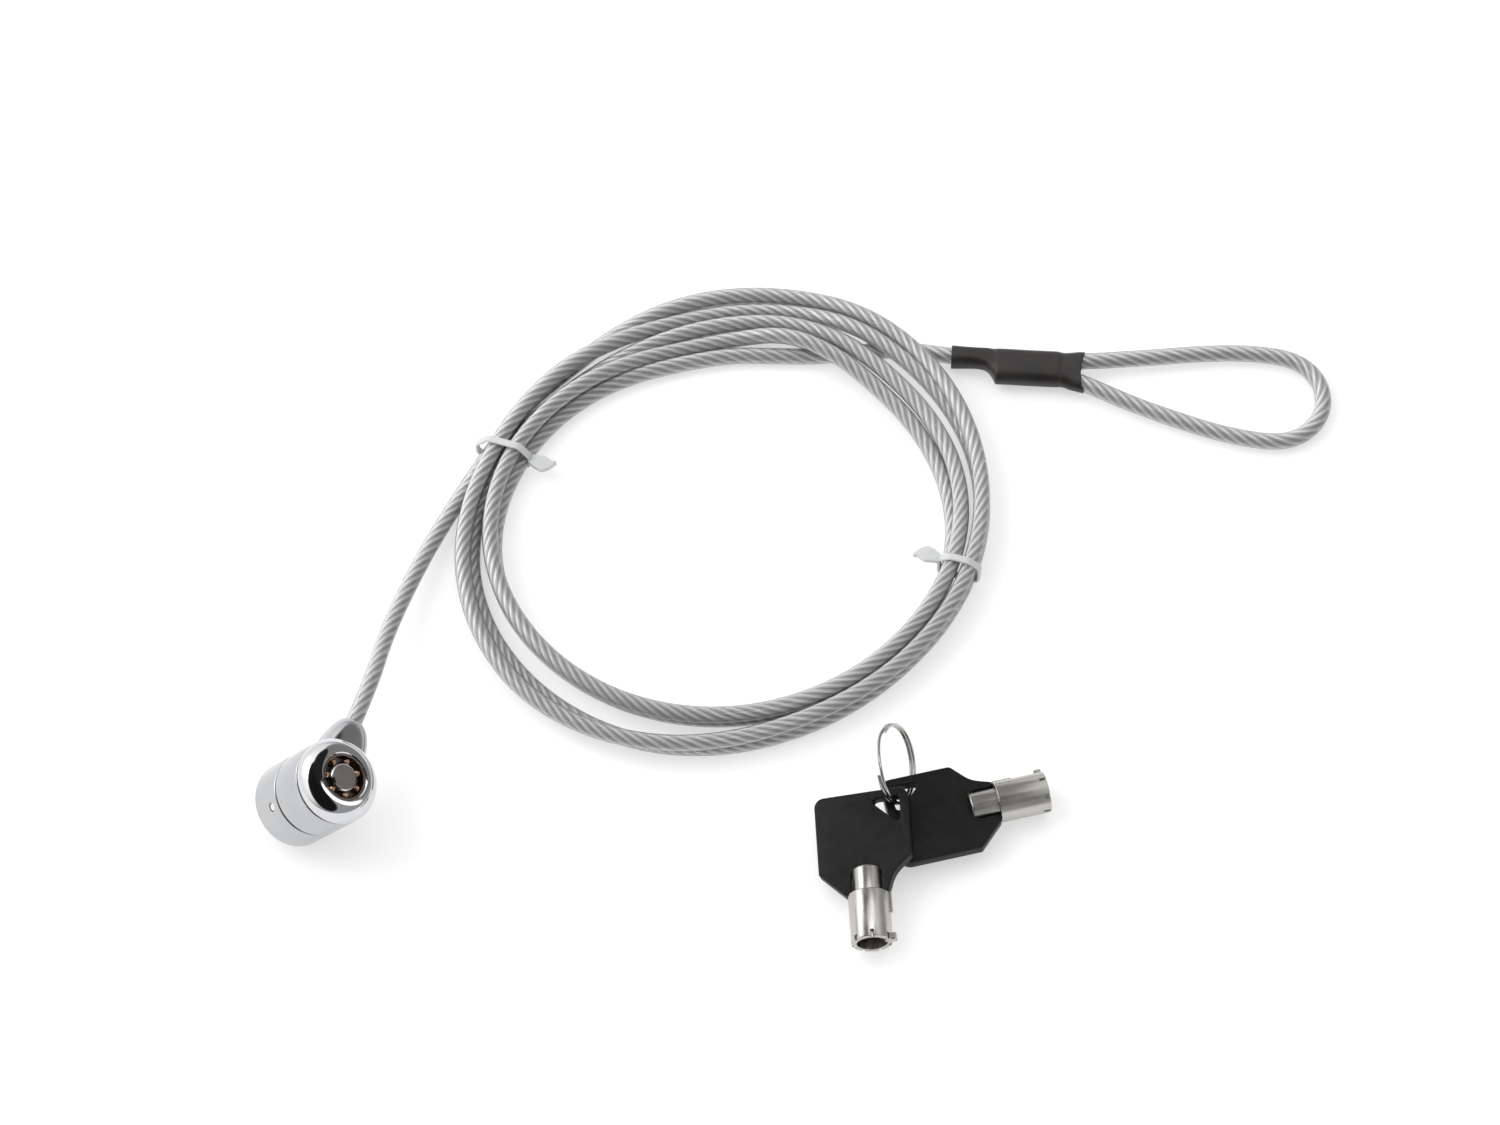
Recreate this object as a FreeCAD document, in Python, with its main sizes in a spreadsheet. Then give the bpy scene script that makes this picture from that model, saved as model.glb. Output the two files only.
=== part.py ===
import FreeCAD, Part
import math
import os
import Sketcher
from FreeCAD import Placement, Rotation, Vector

# Laptop cable lock: a round swivel head with a tubular key lock and a T-bar, a coiled steel cable
# that ends in a crimped loop, and two tubular keys on a split ring. Millimetres, +Z up. The origin
# is on the surface that the lock lies on, under the middle of the head, keys and ring.
# The head's own frame has its Z along the lock's axis, from the face that meets the laptop at 0 to
# the keyway at head_len, and its Y along the cable's ear. A key's own frame has its origin where
# the barrel starts, Y towards the barrel's mouth and Z out of the bow's upper face.

DOC = FreeCAD.newDocument("laptop_cable_lock")
SHEET = DOC.addObject("Spreadsheet::Sheet", "Sizes")

DRIVING = {
    # head: place and attitude
    "head_x": -84.6, "head_y": 9.5, "head_z": 5.56, "head_azimuth": 13.5, "head_tilt": 34.6,
    "head_roll": 7.0,
    # head: outside
    "head_r": 10.2, "head_len": 24.6, "rear_len": 9.65, "ring_low": 9.8, "ring_top": 19.6,
    "dome_low": 19.75, "dome_fillet": 4.5, "groove": 0.22, "rim": 0.4,
    # head: sleeve, keyway and cylinder
    "sleeve_r": 7.0, "sleeve_low": 3.0, "sleeve_bore": 5.62, "running": 0.04, "liner_bore": 5.1,
    "liner_wall": 0.5, "index_angle": 228.0, "index_w": 2.2, "index_deep": 1.8, "post_r": 3.35,
    "post_top": 24.2, "flange_top": 21.8, "shear_z": 15.8, "flange_r": 5.5, "pin_count": 7,
    "pin_circle": 4.2, "pin_r": 0.72, "pin_tip": 23.8, "pin_hole": 0.76, "bushing_low": 5.6,
    "bushing_r": 5.58, "driver_len": 2.6, "spring_r": 0.55, "spring_wire": 0.1,
    "spring_low": 7.6, "spring_turns": 8, "pin_hole_low": 7.45,
    # head: spindle and T-bar
    "spindle_r": 2.0, "spindle_low": 3.0, "spindle_top": 18.8, "shaft_r": 1.35, "shaft_top": 7.9,
    "neck_low": -3.0, "tee_low": -4.6, "tee_long": 6.6, "tee_wide": 2.6, "clip_low": 4.2,
    "clip_thick": 0.6, "clip_r": 3.5, "clip_groove_r": 1.5, "cross_pin_r": 0.4,
    "cross_pin_z": 6.7, "washer_low": 4.95, "washer_thick": 0.55, "washer_r": 4.6,
    # head: rear shell, guide, pad and fixing pins
    "plate_thick": 2.4, "guide_r": 3.0, "guide_bore": 1.45, "prong_out": 2.7, "prong_at": 2.35,
    "prong_wide": 0.9, "prong_deep": 2.0, "pad_r": 8.8, "pad_thick": 0.7, "fixing_pin_r": 1.05,
    "fixing_pin_z": 6.8, "fixing_pin_end": 9.6, "bushing_pin_r": 0.8, "bushing_pin_z": 12.4,
    "swivel_washer_r": 9.2, "swivel_washer_thick": 0.5,
    # swivel ring and its ear
    "ring_bore": 7.1, "ear_base": 5.0, "ear_tip_r": 2.95, "ear_tip": 19.4, "ear_low": 8.6,
    "ear_half": 4.6, "ear_shoulder": 12.5, "ear_tip_half": 2.75, "cable_hole": 2.06,
    "stop_r": 2.7, "stop_low": 7.5, "stop_top": 10.5, "stop_hole": 2.78,
    # cable, coil and fitting
    "cable_r": 2.0, "coil_x": 17.8, "coil_y": 90.1, "coil_thick": 8.2, "fitting_x": 71.4,
    "fitting_y": 134.2, "fitting_z": 3.2, "fitting_yaw": -3.3, "ferrule_start": 10.5,
    "ferrule_len": 17.0, "ferrule_half": 2.5, "strand_gap": 4.2, "shrink_wall": 0.5,
    # ties
    "strap_wide": 2.4, "strap_thick": 0.9,
    # keys
    "bow_w": 22.4, "bow_len": 25.5, "bow_thick": 3.0, "bow_round": 2.4, "bow_chamfer": 6.2,
    "bow_edge": 0.35, "scoop_len": 8.5, "scoop_r": 9.0, "scoop_lip": 1.3, "mouth_w": 7.4,
    "mouth_deep": 6.5, "mouth_round": 2.2, "eye_leg": 7.4, "eye_inset": 2.1, "eye_round": 0.8,
    "barrel_r": 4.85, "barrel_bore": 3.55, "barrel_len": 12.2, "barrel_floor": 1.8,
    "shank_r": 3.5, "tang_w": 5.0, "tang_thick": 1.7, "tang_len": 9.0, "key_rib_w": 1.2,
    "key_rib_out": 5.4, "key_rib_len": 5.0, "key_tab_w": 1.8, "key_tab_out": 5.9,
    "key_tab_len": 1.7, "drive_w": 1.0, "drive_in": 3.0, "drive_len": 2.0,
    # split ring
    "ring_x": 56.33, "ring_y": 17.37, "ring_z": 10.97, "ring_azimuth": -8.56,
    "ring_rise": 25.6, "hoop_r": 9.2, "wire_r": 0.42, "hoop_pitch": 0.88, "hoop_step": 70.0,
    "hoop_turn": 225.0,
}
KEY_PLACES = {"key_1": ((49.8, -14.33, 5.92), (-177.5, 13.5, -3.76)),
              "key_2": ((79.9, 10.36, 4.95), (-76.2, 0.0, -0.24))}
PIN_TRAVELS = (1.0, 1.6, 0.8, 1.9, 1.2, 1.7, 1.4)
LEAD_ROUTE = ((-63.9, 53.5, 8.6), (-58.1, 71.7, 4.6), (-50.9, 88.5, 2.8), (-42.7, 103.1, 2.4),
              (-32.7, 114.1, 3.0))
LOOP_ROUTE = ((118.3, 134.1, 2.7), (131.3, 135.5, 2.4), (142.8, 136.0, 2.2), (153.9, 134.6, 2.1),
              (159.6, 130.4, 2.1), (162.2, 123.8, 2.1), (160.7, 116.8, 2.1), (155.7, 111.8, 2.1),
              (148.7, 110.3, 2.1), (136.3, 112.9, 2.2), (124.8, 117.1, 2.4), (114.8, 121.1, 2.7))
TAIL_ROUTE = ((53.7, 136.4, 3.2), (62.9, 136.0, 3.2))
COIL_OUTER = (62.4, 65.3, 66.3, 63.8, 59.8, 60.4, 69.6, 69.8, 71.2, 65.7, 61.5, 60.8)
COIL_INNER = (51.2, 48.3, 46.0, 40.8, 43.0, 49.8, 55.0, 56.8, 55.2, 52.6, 51.5, 52.2)
TIES = {"tie_1": (163.0, 53.4, 65.6), "tie_2": (-16.2, 51.6, 61.8)}


class Size:
    """A number together with the sheet expression that gives it."""

    def __init__(self, value, text):
        self.value = value
        self.text = text

    def joined(self, sign, other, value):
        right = other.text if isinstance(other, Size) else repr(float(other))
        return Size(value, f"({self.text} {sign} {right})")

    def __add__(self, other):
        return self.joined("+", other, self.value + number(other))

    def __sub__(self, other):
        return self.joined("-", other, self.value - number(other))

    def __mul__(self, other):
        return self.joined("*", other, self.value * number(other))

    def __truediv__(self, other):
        return self.joined("/", other, self.value / number(other))

    def __neg__(self):
        return Size(-self.value, f"(0 - {self.text})")


def number(size):
    return size.value if isinstance(size, Size) else float(size)


def fill_sheet(driving):
    """One row a size: its name in column A and its value, under that alias, in column B."""
    sizes = {}
    for row, (alias, value) in enumerate(driving.items(), start=1):
        SHEET.set(f"A{row}", alias)
        SHEET.set(f"B{row}", str(value))
        SHEET.setAlias(f"B{row}", alias)
        sizes[alias] = Size(float(value), f"Sizes.{alias}")
    DOC.recompute()
    return sizes


S = fill_sheet(DRIVING)
NODES = {}


def bind(thing, prop, size):
    """Gives a property its value, and its expression if the size has one."""
    setattr(thing, prop, number(size))
    if isinstance(size, Size):
        thing.setExpression(prop, size.text)


def keep(thing, label, place=None):
    """Names a finished sub-part and puts it in its place."""
    thing.Label = label
    if place is not None:
        thing.Placement = place
    NODES[label] = thing
    return thing


def about(axis, degrees):
    return Rotation(Vector(*axis), degrees)


HEAD = Placement(
    Vector(S["head_x"].value, S["head_y"].value, S["head_z"].value),
    about((0, 0, 1), -S["head_azimuth"].value)
    * about((0, 1, 0), S["head_tilt"].value)
    * about((0, 0, 1), -S["head_roll"].value),
)
HOOP = Placement(
    Vector(S["ring_x"].value, S["ring_y"].value, S["ring_z"].value),
    about((0, 0, 1), S["ring_azimuth"].value)
    * about((0, 1, 0), 90 - S["ring_rise"].value)
    * about((0, 0, 1), S["hoop_turn"].value),
)
FITTING = Placement(
    Vector(S["fitting_x"].value, S["fitting_y"].value, S["fitting_z"].value),
    about((0, 0, 1), S["fitting_yaw"].value),
)


# ---- sketches and bodies -----------------------------------------------------------------------

def arc_through(start, end, radius, side):
    """The short arc from start to end. It bulges to the right of the way along if side is 1."""
    chord = end - start
    right = Vector(chord.y, -chord.x, 0).normalize() * side
    reach = math.sqrt(max(radius ** 2 - (chord.Length / 2) ** 2, 0))
    centre = (start + end) / 2 - right * reach
    first, last = (start, end) if side > 0 else (end, start)
    angles = [math.atan2(p.y - centre.y, p.x - centre.x) for p in (first, last)]
    circle = Part.Circle(centre, Vector(0, 0, 1), radius)
    return Part.ArcOfCircle(circle, angles[0], angles[1])


def fix_point(sketch, item, end, x, y):
    """Holds one end of a line or arc at its distances from the sketch's origin."""
    for kind, size, axis in (("DistanceX", x, -2), ("DistanceY", y, -1)):
        if number(size) == 0:
            sketch.addConstraint(Sketcher.Constraint("PointOnObject", item, end, axis))
            continue
        at = sketch.addConstraint(Sketcher.Constraint(kind, -1, 1, item, end, number(size)))
        if isinstance(size, Size):
            sketch.setExpression(f"Constraints[{at}]", size.text)


def draw_outline(sketch, points):
    """A closed outline. A point is (x, y), or (x, y, radius, side) where an arc leads on."""
    places = [Vector(number(p[0]), number(p[1]), 0) for p in points]
    ends = []
    for i, point in enumerate(points):
        start, end = places[i], places[(i + 1) % len(points)]
        if len(point) == 2:
            sketch.addGeometry(Part.LineSegment(start, end))
            ends.append((1, 2))
            continue
        radius, side = point[2], point[3]
        item = sketch.addGeometry(arc_through(start, end, number(radius), side))
        ends.append((1, 2) if side > 0 else (2, 1))
        at = sketch.addConstraint(Sketcher.Constraint("Radius", item, number(radius)))
        if isinstance(radius, Size):
            sketch.setExpression(f"Constraints[{at}]", radius.text)
    for i, point in enumerate(points):
        after = (i + 1) % len(points)
        join = Sketcher.Constraint("Coincident", i, ends[i][1], after, ends[after][0])
        sketch.addConstraint(join)
        fix_point(sketch, i, ends[i][0], point[0], point[1])


def new_sketch(body, name, role, lift=0, turn=0):
    """An empty sketch on an origin plane of its own body, raised off it and turned about its Z."""
    sketch = body.newObject("Sketcher::SketchObject", name)
    plane = next(f for f in body.Origin.OriginFeatures if f.Role == role)
    sketch.AttachmentSupport = [(plane, "")]
    sketch.MapMode = "FlatFace"
    offset = Placement(Vector(0, 0, number(lift)), about((0, 0, 1), number(turn)))
    sketch.AttachmentOffset = offset
    if isinstance(lift, Size):
        sketch.setExpression("AttachmentOffset.Base.z", lift.text)
    return sketch


def turned(name, points):
    """A body turned about its Z axis from an outline of (radius, height) points."""
    body = DOC.addObject("PartDesign::Body", name)
    sketch = new_sketch(body, name + "_profile", "XZ_Plane")
    draw_outline(sketch, points)
    turn = body.newObject("PartDesign::Revolution", name + "_turn")
    turn.Profile = sketch
    turn.ReferenceAxis = (sketch, ["V_Axis"])
    turn.Angle = 360
    sketch.Visibility = False
    DOC.recompute()
    return body


def pocket(body, name, points, top, deep, turn=0, circle=None):
    """A pocket cut down from the height top, from an outline or one circle (x, y, radius)."""
    before = body.Shape.Volume
    sketch = new_sketch(body, name + "_outline", "XY_Plane", top, turn)
    if circle:
        x, y, radius = circle
        middle = Vector(number(x), number(y), 0)
        item = sketch.addGeometry(Part.Circle(middle, Vector(0, 0, 1), number(radius)))
        at = sketch.addConstraint(Sketcher.Constraint("Radius", item, number(radius)))
        if isinstance(radius, Size):
            sketch.setExpression(f"Constraints[{at}]", radius.text)
        fix_point(sketch, item, 3, x, y)
    else:
        draw_outline(sketch, points)
    cut = body.newObject("PartDesign::Pocket", name)
    cut.Profile = sketch
    bind(cut, "Length", deep)
    DOC.recompute()
    if body.Shape.Volume > before - 0.01:
        raise RuntimeError(f"{name} cuts nothing")
    return cut, sketch


def ring_of(body, feature, sketch, count):
    """Repeats a pocket evenly round the body's Z axis."""
    pattern = body.newObject("PartDesign::PolarPattern", feature.Name + "_ring")
    pattern.Originals = [feature]
    pattern.Axis = (sketch, ["N_Axis"])
    pattern.Angle = 360
    pattern.Occurrences = int(number(count))
    body.Tip = pattern
    DOC.recompute()
    return pattern


# ---- primitives --------------------------------------------------------------------------------

def rod(name, radius, low, high, at=(0, 0), angle=0, radial=False):
    """A cylinder along Z between two heights, or, if radial, lying along the direction angle at
    height at[1], between two distances from the axis."""
    thing = DOC.addObject("Part::Cylinder", name)
    bind(thing, "Radius", radius)
    bind(thing, "Height", high - low)
    if radial:
        away = about((0, 0, 1), number(angle)).multVec(Vector(1, 0, 0))
        base = away * number(low) + Vector(0, 0, number(at[1]))
        thing.Placement = Placement(base, Rotation(Vector(0, 0, 1), away))
        return thing
    thing.Placement.Base = Vector(number(at[0]), number(at[1]), number(low))
    if isinstance(low, Size):
        thing.setExpression("Placement.Base.z", low.text)
    return thing


def block(name, long, wide, tall, corner, turn=0):
    """A box from its corner, turned about Z through the origin."""
    thing = DOC.addObject("Part::Box", name)
    bind(thing, "Length", long)
    bind(thing, "Width", wide)
    bind(thing, "Height", tall)
    spin = about((0, 0, 1), number(turn))
    base = spin.multVec(Vector(*[number(c) for c in corner]))
    thing.Placement = Placement(base, spin)
    return thing


def cut(name, base, *tools):
    """The base with every tool taken away."""
    tool = tools[0]
    if len(tools) > 1:
        tool = DOC.addObject("Part::MultiFuse", name + "_tools")
        tool.Shapes = list(tools)
    thing = DOC.addObject("Part::Cut", name)
    thing.Base = base
    thing.Tool = tool
    return thing


def fuse(name, *pieces):
    thing = DOC.addObject("Part::MultiFuse", name)
    thing.Shapes = list(pieces)
    return thing


def group(name, pieces):
    """Separate solids that share one node."""
    thing = DOC.addObject("Part::Compound", name)
    thing.Links = list(pieces)
    return thing


def on_circle(radius, index, count):
    """A place on the pin circle. The first pin is half a step past the index notch."""
    angle = math.radians(S["index_angle"].value + 360 * (index + 0.5) / count)
    return number(radius) * math.cos(angle), number(radius) * math.sin(angle)


# ---- head --------------------------------------------------------------------------------------

def make_front_shell():
    """The dome, and the long sleeve behind it that carries the swivel ring and the lock."""
    bore, sleeve, edge = S["sleeve_bore"], S["sleeve_r"], S["head_r"]
    low, top, fillet, groove = S["dome_low"], S["head_len"], S["dome_fillet"], S["groove"]
    body = turned("front_shell_body", [
        (bore, S["sleeve_low"]), (sleeve, S["sleeve_low"]), (sleeve, low), (edge - groove, low),
        (edge, low + groove), (edge, top - fillet, fillet, 1), (edge - fillet, top), (bore, top)])
    half = S["index_w"] / 2
    pocket(body, "dome_notch", [
        (bore - 0.6, -half), (bore + 0.55, -half), (bore + 0.55, half), (bore - 0.6, half)],
        top, S["index_deep"], S["index_angle"])
    wall_hole = rod("sleeve_pin_hole", S["fixing_pin_r"] + 0.02, S["sleeve_bore"] - 1, S["sleeve_r"] + 1,
                    (0, S["fixing_pin_z"]), S["index_angle"], True)
    side_hole = rod("sleeve_side_hole", S["bushing_pin_r"] + 0.02, S["sleeve_bore"] - 1,
                    S["sleeve_r"] + 1, (0, S["bushing_pin_z"]), 0, True)
    keep(cut("front_shell", body, wall_hole, side_hole), "front_shell", HEAD)


def make_keyway_liner():
    """The bright ring in the keyway's mouth, cut through by the index notch."""
    low, top = S["flange_top"] + 0.03, S["head_len"] - 0.15
    outer, bore = S["liner_bore"] + S["liner_wall"], S["liner_bore"]
    body = turned("keyway_liner", [
        (bore, low), (outer, low), (outer, top), (bore + 0.2, top), (bore, top - 0.2)])
    half = S["index_w"] / 2
    pocket(body, "liner_notch", [
        (bore - 0.8, -half), (outer + 0.5, -half), (outer + 0.5, half), (bore - 0.8, half)],
        S["head_len"], S["index_deep"] + 0.2, S["index_angle"])
    keep(body, "keyway_liner", HEAD)


def make_rear_shell():
    """The cup behind the ring: its plate meets the laptop, its wall holds the sleeve."""
    edge, length, rim, groove = S["head_r"], S["rear_len"], S["rim"], S["groove"]
    cavity, recess = S["sleeve_r"] + S["running"], S["swivel_washer_r"]
    hole, plate = S["guide_r"] + 0.03, S["plate_thick"]
    shelf = length - S["swivel_washer_thick"]
    body = turned("rear_shell_body", [
        (hole, 0), (edge - rim, 0), (edge, rim), (edge, length - groove), (edge - groove, length),
        (recess, length), (recess, shelf), (cavity, shelf), (cavity, plate), (hole, plate)])
    hole = rod("shell_pin_hole", S["fixing_pin_r"] + 0.02, S["sleeve_r"] - 1, S["head_r"] + 1,
               (0, S["fixing_pin_z"]), S["index_angle"], True)
    keep(cut("rear_shell", body, hole), "rear_shell", HEAD)


def make_fixing_pins():
    """The pin that holds the rear shell on the sleeve, and the one that holds the bushing."""
    angle = S["index_angle"]
    pin = rod("retaining_pin", S["fixing_pin_r"], S["sleeve_bore"] + 0.05, S["fixing_pin_end"],
              (0, S["fixing_pin_z"]), angle, True)
    pin.Placement = HEAD * pin.Placement
    keep(pin, "retaining_pin")
    small = rod("bushing_pin", S["bushing_pin_r"], S["pin_circle"] + 0.95, S["sleeve_r"] - 0.02,
                (0, S["bushing_pin_z"]), 0, True)
    small.Placement = HEAD * small.Placement
    keep(small, "bushing_pin")


def make_pin_bushing():
    """The fixed block behind the rotor, with a blind hole for each driver pin and spring."""
    top = S["shear_z"] - S["running"]
    bore = S["spindle_r"] + S["running"]
    body = turned("pin_bushing_body", [
        (bore, S["bushing_low"]), (S["bushing_r"], S["bushing_low"]), (S["bushing_r"], top),
        (bore, top)])
    x, y = on_circle(S["pin_circle"], 0, number(S["pin_count"]))
    hole, sketch = pocket(body, "driver_hole", None, top, top - S["pin_hole_low"], 0,
                          (x, y, S["pin_hole"]))
    ring_of(body, hole, sketch, S["pin_count"])
    seat = rod("bushing_pin_seat", S["bushing_pin_r"] + 0.02, S["pin_circle"] + 0.93,
               S["bushing_r"] + 1, (0, S["bushing_pin_z"]), 0, True)
    keep(cut("pin_bushing", body, seat), "pin_bushing", HEAD)


def make_drivers_and_springs():
    """Seven driver pins, and behind each one the spring that pushes it forward."""
    count = int(number(S["pin_count"]))
    top = S["shear_z"] - S["running"] * 2
    drivers, springs = [], []
    for i in range(count):
        at = on_circle(S["pin_circle"], i, count)
        drivers.append(rod(f"driver_pin_{i + 1}", S["pin_r"], top - S["driver_len"], top, at))
        springs.append(make_spring(i, at, number(top - S["driver_len"])))
    keep(group("driver_pins", drivers), "driver_pins", HEAD)
    keep(group("pin_springs", springs), "pin_springs", HEAD)


def make_spring(index, at, top):
    """One compression spring, a wire swept along a helix from its seat up to the driver pin."""
    low = S["spring_low"] + S["spring_wire"] * 1.3
    tall = top - number(S["spring_wire"] * 1.3) - number(low)
    spine = DOC.addObject("Part::Helix", f"spring_line_{index + 1}")
    spine.Pitch = tall / number(S["spring_turns"])
    spine.Height = tall
    bind(spine, "Radius", S["spring_r"])
    wire = DOC.addObject("Part::Circle", f"spring_section_{index + 1}")
    bind(wire, "Radius", S["spring_wire"])
    wire.Placement = Placement(Vector(number(S["spring_r"]), 0, 0), about((1, 0, 0), 90))
    spring = DOC.addObject("Part::Sweep", f"spring_{index + 1}")
    spring.Sections = [wire]
    spring.Spine = (spine, ["Edge1"])
    spring.Solid = True
    spring.Frenet = True
    spring.Placement = Placement(Vector(at[0], at[1], number(low)), Rotation())
    return spring


def make_spindle_stack():
    """The spindle behind the rotor, the T-bar pinned in its end, its clip and its washer."""
    radius, low, top = S["spindle_r"], S["spindle_low"], S["spindle_top"]
    groove_low = S["clip_low"]
    groove_top = groove_low + S["clip_thick"]
    neck = S["clip_groove_r"]
    hole = S["shaft_r"] + S["running"]
    stem = turned("spindle_body", [
        (hole, low), (radius, low), (radius, groove_low), (neck + 0.06, groove_low),
        (neck + 0.06, groove_top), (radius, groove_top), (radius, top - 0.3), (radius - 0.3, top),
        (0, top), (0, S["shaft_top"] + 0.1), (hole, S["shaft_top"] + 0.1)])
    cross = rod("spindle_cross_hole", S["cross_pin_r"] + 0.02, -radius - 1, radius + 1,
                (0, S["cross_pin_z"]), 0, True)
    keep(cut("spindle", stem, cross), "spindle", HEAD)

    shaft = rod("tee_shaft", S["shaft_r"], S["neck_low"], S["shaft_top"])
    head = block("tee_head", S["tee_wide"], S["tee_long"], S["neck_low"] - S["tee_low"],
                 (-S["tee_wide"] / 2, -S["tee_long"] / 2, S["tee_low"]))
    ends = rod("tee_ends", S["tee_long"] / 2, S["tee_low"], S["neck_low"])
    rounded = DOC.addObject("Part::Common", "tee_rounded")
    rounded.Base = head
    rounded.Tool = ends
    whole = fuse("tee_whole", shaft, rounded)
    cross = rod("tee_cross_hole", S["cross_pin_r"] + 0.02, -radius - 1, radius + 1,
                (0, S["cross_pin_z"]), 0, True)
    keep(cut("t_bar", whole, cross), "t_bar", HEAD)

    pin = rod("t_bar_pin", S["cross_pin_r"], -radius + 0.05, radius - 0.05,
              (0, S["cross_pin_z"]), 0, True)
    pin.Placement = HEAD * pin.Placement
    keep(pin, "t_bar_pin")

    clip = turned("spindle_clip_body", [
        (neck + 0.08, groove_low + 0.03), (S["clip_r"], groove_low + 0.03),
        (S["clip_r"], groove_top - 0.03), (neck + 0.08, groove_top - 0.03)])
    mouth = block("clip_mouth", S["clip_r"] + 1, neck * 1.7, S["clip_thick"] + 2,
                  (0, -neck * 0.85, groove_low - 1))
    keep(cut("spindle_clip", clip, mouth), "spindle_clip", HEAD)

    low = S["washer_low"]
    washer = turned("thrust_washer", [
        (radius + 0.1, low), (S["washer_r"], low), (S["washer_r"], low + S["washer_thick"]),
        (radius + 0.1, low + S["washer_thick"])])
    keep(washer, "thrust_washer", HEAD)


def make_rotor():
    """The plug that the key turns: a flange drilled for the key pins, and the centre post."""
    radius, low, top, post = S["flange_r"], S["shear_z"], S["flange_top"], S["post_r"]
    seat = S["spindle_r"] + 0.03
    body = turned("rotor_body", [
        (seat, low), (radius, low), (radius, top), (post, top), (post, S["post_top"] - 0.25),
        (post - 0.25, S["post_top"]), (0, S["post_top"]), (0, S["spindle_top"] + 0.1),
        (seat, S["spindle_top"] + 0.1)])
    x, y = on_circle(S["pin_circle"], 0, number(S["pin_count"]))
    hole, sketch = pocket(body, "rotor_pin_hole", None, top, top - low, 0,
                          (x, y, S["pin_hole"]))
    ring_of(body, hole, sketch, S["pin_count"])
    half = S["drive_w"] / 2 + 0.15
    slot = block("drive_slot", 2, half * 2, 4,
                 (post - 0.7, -half, S["post_top"] - 2.3), S["index_angle"])
    keep(cut("rotor", body, slot), "rotor", HEAD)


def make_key_pins():
    """Seven key pins with level tips. Each is as short as its own travel to the shear plane."""
    count = int(number(S["pin_count"]))
    for i, travel in enumerate(PIN_TRAVELS):
        low, tip, radius = S["shear_z"] + travel, S["pin_tip"], S["pin_r"]
        x, y = on_circle(S["pin_circle"], i, count)
        body = turned(f"key_pin_{i + 1}", [
            (0, low), (radius, low), (radius, tip - 0.3), (radius - 0.3, tip), (0, tip)])
        keep(body, f"key_pin_{i + 1}", HEAD * Placement(Vector(x, y, 0), Rotation()))


def make_face_parts():
    """The guide with its two prongs, the rubber pad, and the washer under the swivel ring."""
    boss = rod("guide_boss", S["guide_r"], -S["pad_thick"], S["plate_thick"])
    prongs = []
    for side in (-1, 1):
        middle = S["prong_at"] * side
        corner = (-S["prong_deep"] / 2, middle - S["prong_wide"] / 2, -S["prong_out"])
        prongs.append(block(f"guide_prong_{side + 2}", S["prong_deep"], S["prong_wide"],
                            S["prong_out"], corner))
    hole = rod("guide_hole", S["guide_bore"], -S["prong_out"] - 1, S["plate_thick"] + 1)
    whole = fuse("guide_whole", boss, *prongs)
    keep(cut("slot_guide", whole, hole), "slot_guide", HEAD)

    thick = S["pad_thick"]
    pad = turned("face_pad", [
        (S["guide_r"] + 0.1, -thick), (S["pad_r"] - 0.2, -thick), (S["pad_r"], -thick + 0.2),
        (S["pad_r"], -0.01), (S["guide_r"] + 0.1, -0.01)])
    keep(pad, "face_pad", HEAD)

    low = S["rear_len"] - S["swivel_washer_thick"] + 0.02
    top = S["rear_len"] + 0.06
    inner, outer = S["sleeve_r"] + 0.06, S["swivel_washer_r"] - 0.06
    washer = turned("swivel_washer", [(inner, low), (outer, low), (outer, top), (inner, top)])
    keep(washer, "swivel_washer", HEAD)


# ---- swivel ring, cable stop -------------------------------------------------------------------

def slab(name, role, points, low, high):
    """A body padded from an outline, between two heights over one of its origin planes."""
    body = DOC.addObject("PartDesign::Body", name)
    sketch = new_sketch(body, name + "_outline", role, low)
    draw_outline(sketch, points)
    pad = body.newObject("PartDesign::Pad", name + "_pad")
    pad.Profile = sketch
    bind(pad, "Length", high - low)
    DOC.recompute()
    return body


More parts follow.
